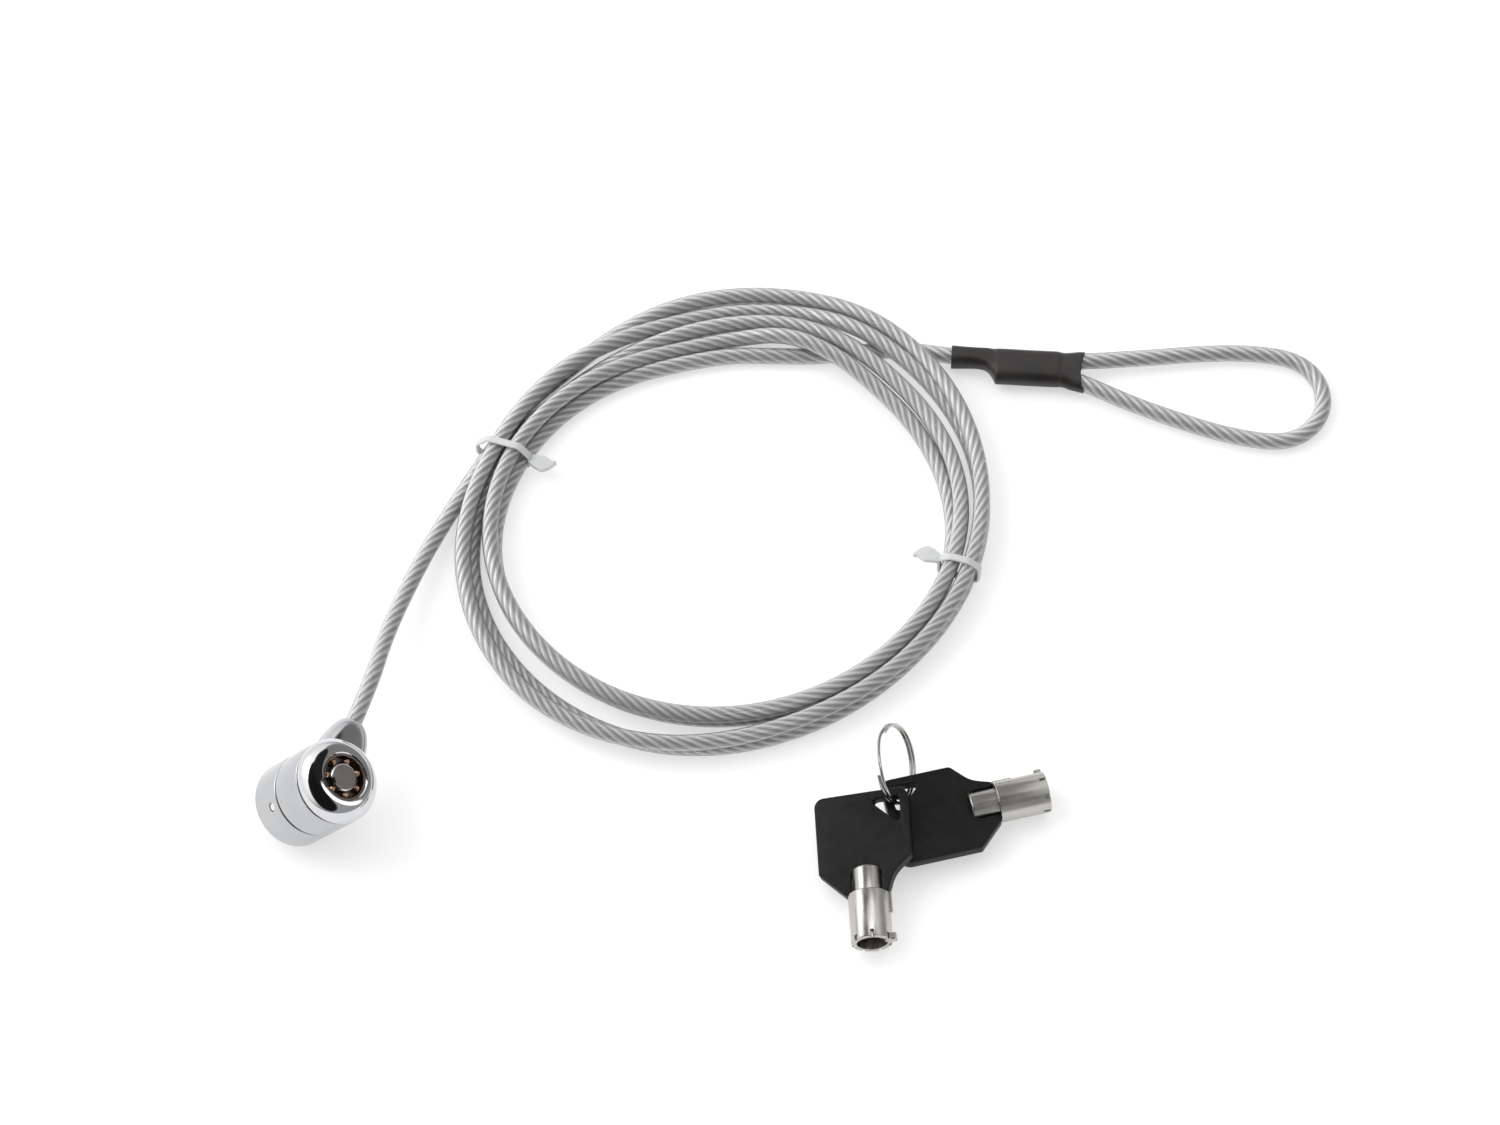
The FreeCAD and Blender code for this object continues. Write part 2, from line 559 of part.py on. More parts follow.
def make_swivel_ring():
    """The ring between the shells, and the tapered ear that the cable leaves by."""
    low, top, edge, groove = S["ring_low"], S["ring_top"], S["head_r"], S["groove"]
    band = turned("ring_band", [
        (S["ring_bore"], low), (edge - groove, low), (edge, low + groove),
        (edge, top - groove), (edge - groove, top), (S["ring_bore"], top)])
    base, tip_r, tip = S["ear_base"], S["ear_tip_r"], S["ear_tip"]
    turn = tip - tip_r * 0.78
    plan = slab("ear_plan", "XY_Plane", [
        (-base, S["ear_low"]), (base, S["ear_low"]), (tip_r, turn, tip_r * 1.03, 1),
        (-tip_r, turn)],
        low + 0.1, top - 0.1)
    middle, half, tip_half = (low + top) / 2, S["ear_half"], S["ear_tip_half"]
    shoulder = S["ear_shoulder"]
    # In the YZ plane the outline's x is the ear's Y and its y is the head's Z.
    side = slab("ear_side", "YZ_Plane", [
        (S["ear_low"], middle - half), (shoulder, middle - half + 0.2),
        (tip - 0.9, middle - tip_half), (tip, middle - tip_half + 0.8),
        (tip, middle + tip_half - 0.8), (tip - 0.9, middle + tip_half),
        (shoulder, middle + half - 0.2), (S["ear_low"], middle + half)],
        -S["ear_base"] - 1, S["ear_base"] + 1)
    ear = DOC.addObject("Part::Common", "ear")
    ear.Base = plan
    ear.Tool = side
    whole = fuse("ring_whole", band, ear)
    hole = rod("ear_hole", S["cable_hole"], 0, tip + 2, (0, middle), 90, True)
    seat = rod("ear_seat", S["stop_hole"], 0, S["stop_top"] + 0.02, (0, middle), 90, True)
    bore = rod("ring_bore_cut", S["ring_bore"], low - 1, top + 1)
    keep(cut("swivel_ring", whole, hole, seat, bore), "swivel_ring", HEAD)

    stop = rod("cable_stop", S["stop_r"], S["stop_low"], S["stop_top"], (0, middle), 90, True)
    stop.Placement = HEAD * stop.Placement
    keep(stop, "cable_stop")
    return middle


# ---- cable -------------------------------------------------------------------------------------

def route_wire(points):
    """Straight runs joined by tangent arcs, each arc as large as its two runs allow."""
    edges, start, radii = [], points[0], []
    for before, corner, after in zip(points, points[1:], points[2:]):
        back, ahead = before - corner, after - corner
        reach = 0.45 * min(back.Length, ahead.Length)
        turn = math.pi - back.getAngle(ahead)
        radii.append(reach / math.tan(turn / 2))
        enter = corner + back.normalize() * reach
        leave = corner + ahead.normalize() * reach
        inward = ((enter + leave) / 2 - corner).normalize()
        middle = corner + inward * (radii[-1] / math.cos(turn / 2) - radii[-1])
        edges.append(Part.LineSegment(start, enter).toShape())
        edges.append(Part.Arc(enter, middle, leave).toShape())
        start = leave
    edges.append(Part.LineSegment(start, points[-1]).toShape())
    return Part.Wire(edges), radii


def make_tube(label, points):
    """A round cable along a route. Its volume is its section times its length."""
    radius = S["cable_r"].value
    path, radii = route_wire([Vector(*p) for p in points])
    first = path.Edges[0]
    ring = Part.Circle(first.valueAt(first.FirstParameter),
                       first.tangentAt(first.FirstParameter), radius)
    shape = path.makePipeShell([Part.Wire(ring.toShape())], True, False)
    thing = DOC.addObject("Part::Feature", label)
    thing.Shape = shape
    keep(thing, label)
    share = shape.Volume / (math.pi * radius ** 2 * path.Length)
    print(f"{label}: length {path.Length:.1f}, radii {[round(r) for r in radii]}, "
          f"volume over section times length {share:.4f}")


def polar_curve(radii):
    """A closed smooth curve round the coil's centre, through evenly spaced directions."""
    step = 2 * math.pi / len(radii)
    centre = Vector(S["coil_x"].value, S["coil_y"].value, 0)
    points = [centre + Vector(math.cos(i * step), math.sin(i * step), 0) * r
              for i, r in enumerate(radii)]
    curve = Part.BSplineCurve()
    curve.interpolate(Points=points, PeriodicFlag=True)
    return Part.Wire(curve.toShape())


def make_coil():
    """The coil's outer shape: everything between its outermost and its innermost strand."""
    rise = Vector(0, 0, S["coil_thick"].value)
    outer, inner = [Part.Face(polar_curve(radii)).extrude(rise)
                    for radii in (COIL_OUTER, COIL_INNER)]
    thing = DOC.addObject("Part::Feature", "cable_coil")
    thing.Shape = outer.cut(inner)
    keep(thing, "cable_coil")


def stadium(half_wide, half_tall, at, x):
    """A round-ended outline across the fitting, at the distance x along it."""
    flat = max(half_wide - half_tall, 0.01)
    left, right = at - flat, at + flat
    tall = half_tall
    edges = [
        Part.LineSegment(Vector(x, left, -tall), Vector(x, right, -tall)).toShape(),
        Part.Arc(Vector(x, right, -tall), Vector(x, right + tall, 0),
                 Vector(x, right, tall)).toShape(),
        Part.LineSegment(Vector(x, right, tall), Vector(x, left, tall)).toShape(),
        Part.Arc(Vector(x, left, tall), Vector(x, left - tall, 0),
                 Vector(x, left, -tall)).toShape()]
    return Part.Wire(edges)


def make_fitting():
    """The crimped ferrule that closes the loop, and the shrink sleeve over it."""
    radius, gap = S["cable_r"].value, S["strand_gap"].value
    start, length = S["ferrule_start"].value, S["ferrule_len"].value
    half, wall, middle = S["ferrule_half"].value, S["shrink_wall"].value, -gap / 2
    wide = half + gap / 2
    bar = Part.Face(stadium(wide, half, middle, start)).extrude(Vector(length, 0, 0))
    for at in (0, -gap):
        bore = Part.makeCylinder(radius + 0.03, length + 2, Vector(start - 1, at, 0),
                                 Vector(1, 0, 0))
        bar = bar.cut(bore)
    ferrule = DOC.addObject("Part::Feature", "crimp_ferrule")
    ferrule.Shape = bar
    keep(ferrule, "crimp_ferrule", FITTING)

    end = start + length
    sections = [
        stadium(radius + wall, radius + wall - 0.02, 0, 0),
        stadium(radius + wall + 0.1, radius + wall, 0, start - 3.5),
        stadium(wide + wall - 0.3, half + wall, middle + 0.2, start),
        stadium(wide + wall, half + wall + 0.05, middle, start + 2),
        stadium(wide + wall, half + wall + 0.05, middle, end - 2),
        stadium(wide + wall - 0.3, half + 0.25, middle, end + 0.5),
        stadium(wide + wall + 0.8, half + 0.1, middle - 0.2, end + 5)]
    sleeve = Part.makeLoft(sections, True, True)
    inside = Part.Face(stadium(wide + 0.05, half + 0.05, middle, start - 0.1))
    inside = inside.extrude(Vector(length + 0.2, 0, 0))
    neck = Part.makeCylinder(radius + 0.05, start + 2, Vector(-1, 0, 0), Vector(1, 0, 0))
    mouth = Part.Face(stadium(wide + 0.2, radius + 0.1, middle, end)).extrude(Vector(6, 0, 0))
    thing = DOC.addObject("Part::Feature", "heat_shrink")
    thing.Shape = sleeve.cut(inside.fuse([neck, mouth]))
    keep(thing, "heat_shrink", FITTING)
    return end


def make_cable(ear_middle):
    """The cable from its stop in the ear, through the coil, to the loop that the ferrule closes."""
    start = HEAD.multVec(Vector(0, number(S["stop_top"]), number(ear_middle)))
    out = HEAD.multVec(Vector(0, number(S["ear_tip"]) + 9, number(ear_middle)))
    make_tube("cable_lead", [start, out] + [Vector(*p) for p in LEAD_ROUTE])
    make_coil()
    end = make_fitting()
    start, gap = S["ferrule_start"].value, S["strand_gap"].value
    inside = start + 2
    join = FITTING.multVec(Vector(inside, 0, 0))
    make_tube("cable_tail", [Vector(*p) for p in TAIL_ROUTE]
              + [FITTING.multVec(Vector(2.0, 0, 0)), join])
    out = FITTING.multVec(Vector(end + 1, 0, 0))
    back = FITTING.multVec(Vector(end + 1, -gap, 0))
    last = FITTING.multVec(Vector(inside, -gap, 0))
    make_tube("cable_loop", [join, out] + [Vector(*p) for p in LOOP_ROUTE] + [back, last])


def make_tie(label, angle, near, far):
    """A narrow strap round the coil's strands, with its lock block inside and its tail up."""
    thick, wide, tall = S["strap_thick"], S["strap_wide"], S["coil_thick"]
    long = far - near
    outer = block(label + "_outer", Size(long, str(long)) + thick * 2, wide, tall + thick,
                  (near - thick.value, -wide / 2, 0))
    inner = block(label + "_inner", long, wide + 2, tall - thick, (near, -wide / 2 - 1, thick))
    loop = cut(label + "_loop", outer, inner)
    lock = block(label + "_lock", 3.4, wide + 1.6, 3.6,
                 (near - 4.0, -wide / 2 - 0.8, tall.value - 3.4))
    tail = block(label + "_tail", 4.2, wide - 0.4, 0.8,
                 (near - 7.6, -wide / 2 + 0.2, tall.value - 2.6))
    place = Placement(Vector(S["coil_x"].value, S["coil_y"].value, 0), about((0, 0, 1), angle))
    keep(fuse(label, loop, lock, tail), label, place)


# ---- keys and split ring -----------------------------------------------------------------------

def bow_outline():
    """The bow seen from above: round far corners, one corner cut off, one scooped, a mouth."""
    half, length, r = S["bow_w"] / 2, S["bow_len"], S["bow_round"]
    mouth, deep, inner = S["mouth_w"] / 2, S["mouth_deep"], S["mouth_round"]
    return [
        (-half, -length + r, r, 1), (-half + r, -length),
        (half - r, -length, r, 1), (half, -length + r),
        (half, -S["bow_chamfer"]), (half - S["bow_chamfer"], 0),
        (mouth, 0), (mouth, -deep + inner, inner, -1), (mouth - inner, -deep),
        (-mouth + inner, -deep, inner, -1), (-mouth, -deep + inner), (-mouth, 0),
        (-mouth - S["scoop_lip"], 0, S["scoop_r"], -1), (-half, -S["scoop_len"])]


def eye_outline():
    """The three-cornered eye for the ring, with its square corner in the bow's corner."""
    leg, r = S["eye_leg"], S["eye_round"]
    x, y = -(S["bow_w"] / 2) + S["eye_inset"], -S["bow_len"] + S["eye_inset"]
    long, short = r * 2.4142, r * 1.7071
    return [
        (x, y + r, r, 1), (x + r, y), (x + leg - long, y, r, 1), (x + leg - short, y + short),
        (x + short, y + leg - short, r, 1), (x, y + leg - long)]


def bevel_faces(body, name, size):
    """Bevels every edge of the body's upper and lower faces."""
    half = number(S["bow_thick"]) / 2
    base = body.Tip
    edges = []
    for i, edge in enumerate(base.Shape.Edges, start=1):
        heights = [v.Z for v in edge.Vertexes]
        if all(abs(abs(z) - half) < 1e-4 for z in heights) and abs(heights[0] - heights[-1]) < 1e-4:
            edges.append(f"Edge{i}")
    bevel = body.newObject("PartDesign::Chamfer", name)
    bevel.Base = (base, edges)
    bind(bevel, "Size", size)
    DOC.recompute()


def make_key(label, place):
    """One key: a moulded bow, and a turned barrel whose flat tang is moulded into it."""
    thick = S["bow_thick"]
    bow = slab(label + "_bow_body", "XY_Plane", bow_outline(), -(thick / 2), thick / 2)
    pocket(bow, label + "_eye", eye_outline(), thick / 2, thick)
    bevel_faces(bow, label + "_edges", S["bow_edge"])
    deep, tang = S["mouth_deep"], S["tang_len"]
    slot = block(label + "_tang_slot", S["tang_w"] + 0.04, tang + 0.04, S["tang_thick"] + 0.04,
                 (-(S["tang_w"] / 2) - 0.02, -deep - tang - 0.02, -(S["tang_thick"] / 2) - 0.02))
    keep(cut(label + "_bow", bow, slot), label + "_bow", place)

    radius, bore, length = S["barrel_r"], S["barrel_bore"], S["barrel_len"]
    shank, floor = S["shank_r"], S["barrel_floor"]
    tube = turned(label + "_tube", [
        (0, -deep), (shank, -deep), (shank, 0), (radius - 0.25, 0), (radius, 0.25),
        (radius, length - 0.25), (radius - 0.25, length), (bore, length), (bore, floor),
        (0, floor)])
    half = S["key_rib_w"] / 2
    rib = block(label + "_rib", S["key_rib_out"] - radius + 0.4, S["key_rib_w"], S["key_rib_len"],
                (radius - 0.4, -half, 0), 180)
    half = S["key_tab_w"] / 2
    tab = block(label + "_tab", S["key_tab_out"] - radius + 0.4, S["key_tab_w"], S["key_tab_len"],
                (radius - 0.4, -half, length - S["key_tab_len"]), 180)
    half = S["drive_w"] / 2
    drive = block(label + "_drive", bore - S["drive_in"] + 0.4, S["drive_w"], S["drive_len"],
                  (S["drive_in"], -half, length - S["drive_len"]), 180)
    # The tang is drawn in the barrel's frame, where the bow's Y is Z and its Z is -Y.
    flat = block(label + "_tang", S["tang_w"], S["tang_thick"], tang,
                 (-(S["tang_w"] / 2), -(S["tang_thick"] / 2), -deep - tang))
    whole = fuse(label + "_whole", tube, rib, tab, drive, flat)
    cuts = []
    for i, travel in enumerate(PIN_TRAVELS):
        angle = math.radians(180 - 360 * (i + 0.5) / len(PIN_TRAVELS))
        at = (number(S["pin_circle"]) * math.cos(angle), number(S["pin_circle"]) * math.sin(angle))
        cuts.append(rod(f"{label}_cut_{i + 1}", S["pin_hole"], length - travel, length + 1, at))
    barrel = cut(label + "_barrel", whole, *cuts)
    keep(barrel, label + "_barrel", place * Placement(Vector(), about((1, 0, 0), -90)))


def make_split_ring():
    """Two flat turns of wire that lie side by side, joined by a short slanting step."""
    radius, half = S["hoop_r"].value, S["hoop_pitch"].value / 2
    step = math.radians(S["hoop_step"].value)

    def at(angle, z):
        return Vector(radius * math.cos(angle), radius * math.sin(angle), z)

    def flat(first, last, z):
        return Part.Arc(at(first, z), at((first + last) / 2, z), at(last, z)).toShape()

    full = 2 * math.pi
    leave, arrive = at(full - step, -half), at(full, half)
    middle = [at(full - step * (1 - f), half * (2 * f * f * (3 - 2 * f) - 1))
              for f in (0.25, 0.5, 0.75)]
    slant = Part.BSplineCurve()
    slant.interpolate(Points=[leave] + middle + [arrive],
                      InitialTangent=Vector(math.sin(step), math.cos(step), 0),
                      FinalTangent=Vector(0, 1, 0))
    path = Part.Wire([
        flat(0, (full - step) / 2, -half), flat((full - step) / 2, full - step, -half),
        slant.toShape(),
        flat(0, (full - step) / 2, half), flat((full - step) / 2, full - step, half)])
    section = Part.Circle(at(0, -half), Vector(0, 1, 0), S["wire_r"].value)
    shape = path.makePipeShell([Part.Wire(section.toShape())], True, True)
    thing = DOC.addObject("Part::Feature", "split_ring")
    thing.Shape = shape
    keep(thing, "split_ring", HOOP)


def check_and_write():
    """Stops on a failed object or a bad shape, then writes one STEP file a node."""
    DOC.recompute()
    for thing in DOC.Objects:
        if "Invalid" in thing.State or "Error" in thing.State:
            raise RuntimeError(f"{thing.Label} failed: {thing.State}")
    for label, thing in NODES.items():
        shape = thing.Shape
        if shape.isNull() or not shape.isValid() or not shape.Solids:
            raise RuntimeError(f"{label} has no valid solid")
    os.makedirs("parts", exist_ok=True)
    for label, thing in NODES.items():
        thing.Shape.exportStep(f"parts/{label}.step")
    print(len(NODES), "nodes written")


make_front_shell()
make_keyway_liner()
make_rear_shell()
make_fixing_pins()
make_pin_bushing()
make_drivers_and_springs()
make_spindle_stack()
make_rotor()
make_key_pins()
make_face_parts()
make_cable(make_swivel_ring())
for tie, (angle, near, far) in TIES.items():
    make_tie(tie, angle, near, far)
for key, (spot, turns) in KEY_PLACES.items():
    make_key(key, Placement(Vector(*spot), Rotation(*turns)))
make_split_ring()
check_and_write()
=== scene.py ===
import math

import bmesh
import bpy
from mathutils import Matrix, Vector


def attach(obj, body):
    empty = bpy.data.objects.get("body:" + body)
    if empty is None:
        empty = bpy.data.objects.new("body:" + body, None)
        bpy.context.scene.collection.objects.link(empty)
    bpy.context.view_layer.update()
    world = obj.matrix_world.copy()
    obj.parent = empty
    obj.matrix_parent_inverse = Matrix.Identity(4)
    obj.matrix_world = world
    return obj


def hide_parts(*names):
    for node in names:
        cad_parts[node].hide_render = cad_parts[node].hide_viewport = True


# Laptop cable lock. Sizes and frames are in millimetres, and each piece is scaled to metres last.
# The stage at the end is in metres.

MM = 0.001
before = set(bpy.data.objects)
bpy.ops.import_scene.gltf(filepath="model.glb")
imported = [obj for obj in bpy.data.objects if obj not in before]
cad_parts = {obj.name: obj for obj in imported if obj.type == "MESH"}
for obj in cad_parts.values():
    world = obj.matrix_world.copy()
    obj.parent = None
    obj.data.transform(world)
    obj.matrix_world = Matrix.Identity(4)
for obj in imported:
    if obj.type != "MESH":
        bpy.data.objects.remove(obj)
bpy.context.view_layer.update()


def turn(axis, degrees):
    return Matrix.Rotation(math.radians(degrees), 4, axis)


def place(x, y, z, *turns):
    """A frame with its origin at a point in mm, turned by each rotation in order."""
    whole = Matrix.Translation((x, y, z))
    for step in turns:
        whole = whole @ step
    return whole


# The head's Z runs from its laptop face to its keyway and its Y along the cable's ear. A key's
# origin is where its barrel starts, with Y towards the barrel's mouth and Z out of the bow's face.
HEAD = place(-84.6, 9.5, 5.56, turn("Z", -13.5), turn("Y", 34.6), turn("Z", -7.0))
FITTING = place(71.4, 134.2, 3.2, turn("Z", -3.3))
HOOP = place(56.33, 17.37, 10.97, turn("Z", -8.56), turn("Y", 64.4), turn("Z", 225.0))
KEYS = {
    "key_1": place(49.8, -14.33, 5.92, turn("Z", -177.5), turn("Y", 13.5), turn("X", -3.76)),
    "key_2": place(79.9, 10.36, 4.95, turn("Z", -76.2), turn("X", -0.24)),
}
COIL_CENTRE = (17.8, 90.1)
INDEX_ANGLE = 228.0


# ---- materials ---------------------------------------------------------------------------------

def shader_of(made):
    return made.node_tree.nodes["Principled BSDF"]


def material(name, colour, rough, metal=0.0, **sockets):
    """A Principled material. Other sockets go by name, with '_' for each space."""
    made = bpy.data.materials.new(name)
    made.use_nodes = True
    shader = shader_of(made)
    shader.inputs["Base Color"].default_value = (*colour, 1)
    shader.inputs["Roughness"].default_value = rough
    shader.inputs["Metallic"].default_value = metal
    for socket, value in sockets.items():
        shader.inputs[socket.replace("_", " ")].default_value = value
    return made


def add(made, kind, **values):
    """A node in a material or world: its properties by name, and its inputs as 'in_' and a name."""
    node = made.node_tree.nodes.new("ShaderNode" + kind)
    for key, value in values.items():
        if key.startswith("in_"):
            node.inputs[key[3:].replace("_", " ")].default_value = value
        else:
            setattr(node, key, value)
    return node


def join(made, source, target, out=0, into=0):
    """Links two nodes by the names or numbers of their sockets, and returns the second."""
    made.node_tree.links.new(source.outputs[out], target.inputs[into])
    return target


def scaled(made, source, factor, plus=None, out=0, **settings):
    """A number times a factor, with another node's number added to it if there is one."""
    node = add(made, "Math", operation="MULTIPLY_ADD" if plus else "MULTIPLY", **settings)
    node.inputs[1].default_value = factor
    join(made, source, node, out)
    return join(made, plus, node, 0, 2) if plus else node


def map_range(node, *ends):
    """Sets a Map Range node's ends: from low, from high, to low and to high."""
    for socket, value in zip(("From Min", "From Max", "To Min", "To Max"), ends):
        node.inputs[socket].default_value = value


def show_surface(made, node):
    """Makes a node the material's surface, in the place of the Principled shader."""
    join(made, node, made.node_tree.nodes["Material Output"])
    made.node_tree.nodes.remove(shader_of(made))


def stretched(made, scale, axes=None):
    """Object coordinates in metres, turned to a frame and stretched along its axes."""
    turned, mapping = add(made, "Mapping"), add(made, "Mapping")
    if axes:
        turned.inputs["Rotation"].default_value = axes.to_3x3().inverted().to_euler()
    mapping.inputs["Scale"].default_value = scale
    join(made, add(made, "TexCoord"), turned, "Object", "Vector")
    return join(made, turned, mapping, 0, "Vector")


def grain(made, scale, detail, low, high, stretch=(1, 1, 1), target="Roughness", seed=0.0,
          axes=None):
    """Noise mapped to a range, and linked to a shader input unless the target is None."""
    mapping = stretched(made, stretch, axes)
    mapping.inputs["Location"].default_value = (seed, seed * 0.7, seed * 1.3)
    noise = add(made, "TexNoise", in_Scale=scale, in_Detail=detail)
    join(made, mapping, noise, 0, "Vector")
    spread = add(made, "MapRange")
    map_range(spread, 0.3, 0.7, low, high)
    join(made, noise, spread)
    if target:
        join(made, spread, shader_of(made), 0, target)
    return spread


def tint(made, factor, dark, light):
    """Base colour between two colours by a factor from 0 to 1."""
    mix = add(made, "Mix", data_type="RGBA")
    mix.inputs["A"].default_value = (*dark, 1)
    mix.inputs["B"].default_value = (*light, 1)
    for socket in mix.inputs:
        if socket.name == "Factor" and socket.type == "VALUE":
            made.node_tree.links.new(factor.outputs[0], socket)
            break
    colour = next(s for s in mix.outputs if s.type == "RGBA")
    made.node_tree.links.new(colour, shader_of(made).inputs["Base Color"])


def bump(made, source, strength, distance, target=None):
    """Relief on a shader node, which is the Principled one unless another is given."""
    relief = add(made, "Bump", in_Strength=strength, in_Distance=distance)
    join(made, source, relief, 0, "Height")
    join(made, relief, target or shader_of(made), 0, "Normal")


def worn_metal(name, colour, rough, spread, brushed=None, axes=None, depth=0.000004):
    """Plated metal: uneven roughness, small scuffs, and a brushed grain along a frame's axes."""
    made = material(name, colour, rough, 1.0)
    grain(made, 260.0, 4.0, rough - spread, rough + spread)
    factor = grain(made, 90.0, 5.0, 0.0, 1.0, target=None, seed=3.1)
    tint(made, factor, [c * 0.93 for c in colour], [min(c * 1.04, 1) for c in colour])
    lines = grain(made, 420.0, 3.0, 0.0, 1.0, brushed or (1, 1, 1), None, 1.7, axes)
    bump(made, lines, 0.3 if brushed else 0.06, depth)
    return made


# The rope mesh's UV map, which runs along the rope in millimetres and once round each strand, and
# the wires' wave, in radians for one strand round and for one millimetre along.
ROPE_UV = "along"
WAVE_ROUND, WAVE_ALONG = 31.4, 9.7


def rope_material():
    """Steel strands with painted shade where they meet and a painted highlight along each crown,
    with fine wires laid the other way along each one.
    """
    made = material("rope_wires", (0.75, 0.76, 0.76), 0.38, 0.4)
    where = add(made, "UVMap", uv_map=ROPE_UV)
    split = join(made, where, add(made, "SeparateXYZ"))
    across = add(made, "Math", operation="PINGPONG")
    across.inputs[1].default_value = 0.5
    join(made, split, across, "Y")
    # Across each of the strands: painted shade in the valley where they meet, rising to a painted
    # highlight along the crown.
    painted_crown_and_valley = add(made, "ValToRGB")
    stops = painted_crown_and_valley.color_ramp.elements
    stops[0].position, stops[1].position = 0.04, 0.5
    stops[0].color, stops[1].color = (0.0, 0.0, 0.0, 1), (1.0, 1.0, 1.0, 1)
    for position, level in ((0.2, 0.42), (0.36, 0.54), (0.43, 1.0)):
        stops.new(position).color = (level, level, level, 1)
    join(made, across, painted_crown_and_valley)
    phase = scaled(made, split, WAVE_ALONG, scaled(made, split, WAVE_ROUND, out="Y"))
    wires = join(made, phase, add(made, "Math", operation="SINE"))
    patch = add(made, "TexNoise", in_Scale=0.8, in_Detail=5.0)
    join(made, where, patch, 0, "Vector")
    # The colour: fine wires and random patches over the painted crown highlight and the painted
    # valley shade.
    shade = scaled(made, wires, 0.07, scaled(made, patch, 0.3, painted_crown_and_valley), use_clamp=True)
    tint(made, shade, (0.3, 0.305, 0.3), (1.0, 1.0, 1.0))
    bump(made, wires, 0.35, 0.00005)
    return made


def jacket_material():
    """Clear soft plastic, a little milky, with more gloss at a grazing angle."""
    made = material("clear_jacket", (1, 1, 1), 0.08)
    body = add(made, "MixShader", in_Fac=0.14)
    join(made, add(made, "BsdfTransparent", in_Color=(0.99, 0.993, 0.991, 1)), body, 0, 1)
    join(made, add(made, "BsdfDiffuse", in_Color=(0.9, 0.905, 0.9, 1)), body, 0, 2)
    gloss = add(made, "BsdfGlossy", in_Roughness=0.1, in_Color=(1, 1, 1, 1))
    ripple = add(made, "TexNoise", in_Scale=420.0, in_Detail=2.0)
    join(made, add(made, "TexCoord"), ripple, "Object", "Vector")
    bump(made, ripple, 0.35, 0.00004, gloss)
    mix = add(made, "MixShader")
    join(made, add(made, "Fresnel", in_IOR=1.5), mix)
    join(made, body, mix, 0, 1)
    join(made, gloss, mix, 0, 2)
    show_surface(made, mix)
    return made


def plastic(name, colour, rough, size, depth, light=1.5, **sockets):
    """Moulded plastic or rubber with a fine skin."""
    made = material(name, colour, rough, **sockets)
    grain(made, size * 0.3, 3.0, rough - 0.06, rough + 0.08, seed=2.2)
    factor = grain(made, size * 0.15, 5.0, 0.0, 1.0, target=None)
    tint(made, factor, colour, [min(c * light, 1) for c in colour])
    skin = grain(made, size, 2.0, 0.0, 1.0, target=None, seed=5.0)
    bump(made, skin, 0.35, depth)
    return made


MIRROR = worn_metal("mirror_chrome", (0.66, 0.665, 0.675), 0.05, 0.015)
SATIN = worn_metal("satin_chrome", (0.5, 0.505, 0.515), 0.2, 0.05, (0.35, 0.35, 7), HEAD, 0.000006)
NICKEL = {label: worn_metal(label + "_nickel", (0.5, 0.485, 0.46), 0.27, 0.05, (4, 0.3, 4), where)
          for label, where in KEYS.items()}
PIN_STEEL = worn_metal("pin_steel", (0.8, 0.74, 0.68), 0.22, 0.05)
WIRE = worn_metal("ring_wire", (0.52, 0.51, 0.49), 0.14, 0.04)
STEEL = worn_metal("bare_steel", (0.5, 0.5, 0.51), 0.3, 0.08)
BRASS = worn_metal("brass_pins", (0.72, 0.44, 0.29), 0.25, 0.06)
DARK_METAL = worn_metal("dark_keyway", (0.2, 0.16, 0.14), 0.3, 0.08)
POST_FACE = worn_metal("post_face", (0.24, 0.22, 0.2), 0.5, 0.12, (1, 1, 1), None, 0.00002)
BOW_PLASTIC = plastic("black_bow", (0.006, 0.006, 0.0065), 0.42, 2600.0, 0.00001, 1.7,
                      Specular_IOR_Level=0.22)
RUBBER = plastic("pad_rubber", (0.03, 0.03, 0.03), 0.7, 2000.0, 0.00002)
SHRINK = plastic("shrink_sleeve", (0.011, 0.0094, 0.0085), 0.34, 900.0, 0.00003, 1.8,
                 Specular_IOR_Level=0.4)
NYLON = plastic("tie_nylon", (0.62, 0.625, 0.63), 0.4, 900.0, 0.00003, 1.08,
                Subsurface_Weight=0.4, Subsurface_Scale=0.001,
                Subsurface_Radius=(1, 1, 1))
WASHER = plastic("nylon_washer", (0.12, 0.12, 0.13), 0.5, 1500.0, 0.00001)
ROPE = rope_material()
JACKET = jacket_material()


# ---- meshes ------------------------------------------------------------------------------------

SQUARE = ((-1, -1), (1, -1), (1, 1), (-1, 1))


def in_scene(name, data):
    """A new object of some data, linked into the scene."""
    thing = bpy.data.objects.new(name, data)
    bpy.context.scene.collection.objects.link(thing)
    return thing


def as_mesh(name, bm):
    """A mesh of a bmesh, which is freed."""
    mesh = bpy.data.meshes.new(name)
    bm.to_mesh(mesh)
    bm.free()
    return mesh


def smooth(share):
    """A share from 0 to 1, eased at both ends."""
    return share * share * (3 - 2 * share)


def squared(value, power):
    """A sine or cosine raised to a power, so that the round it draws is squarer."""
    return math.copysign(abs(value) ** power, value)


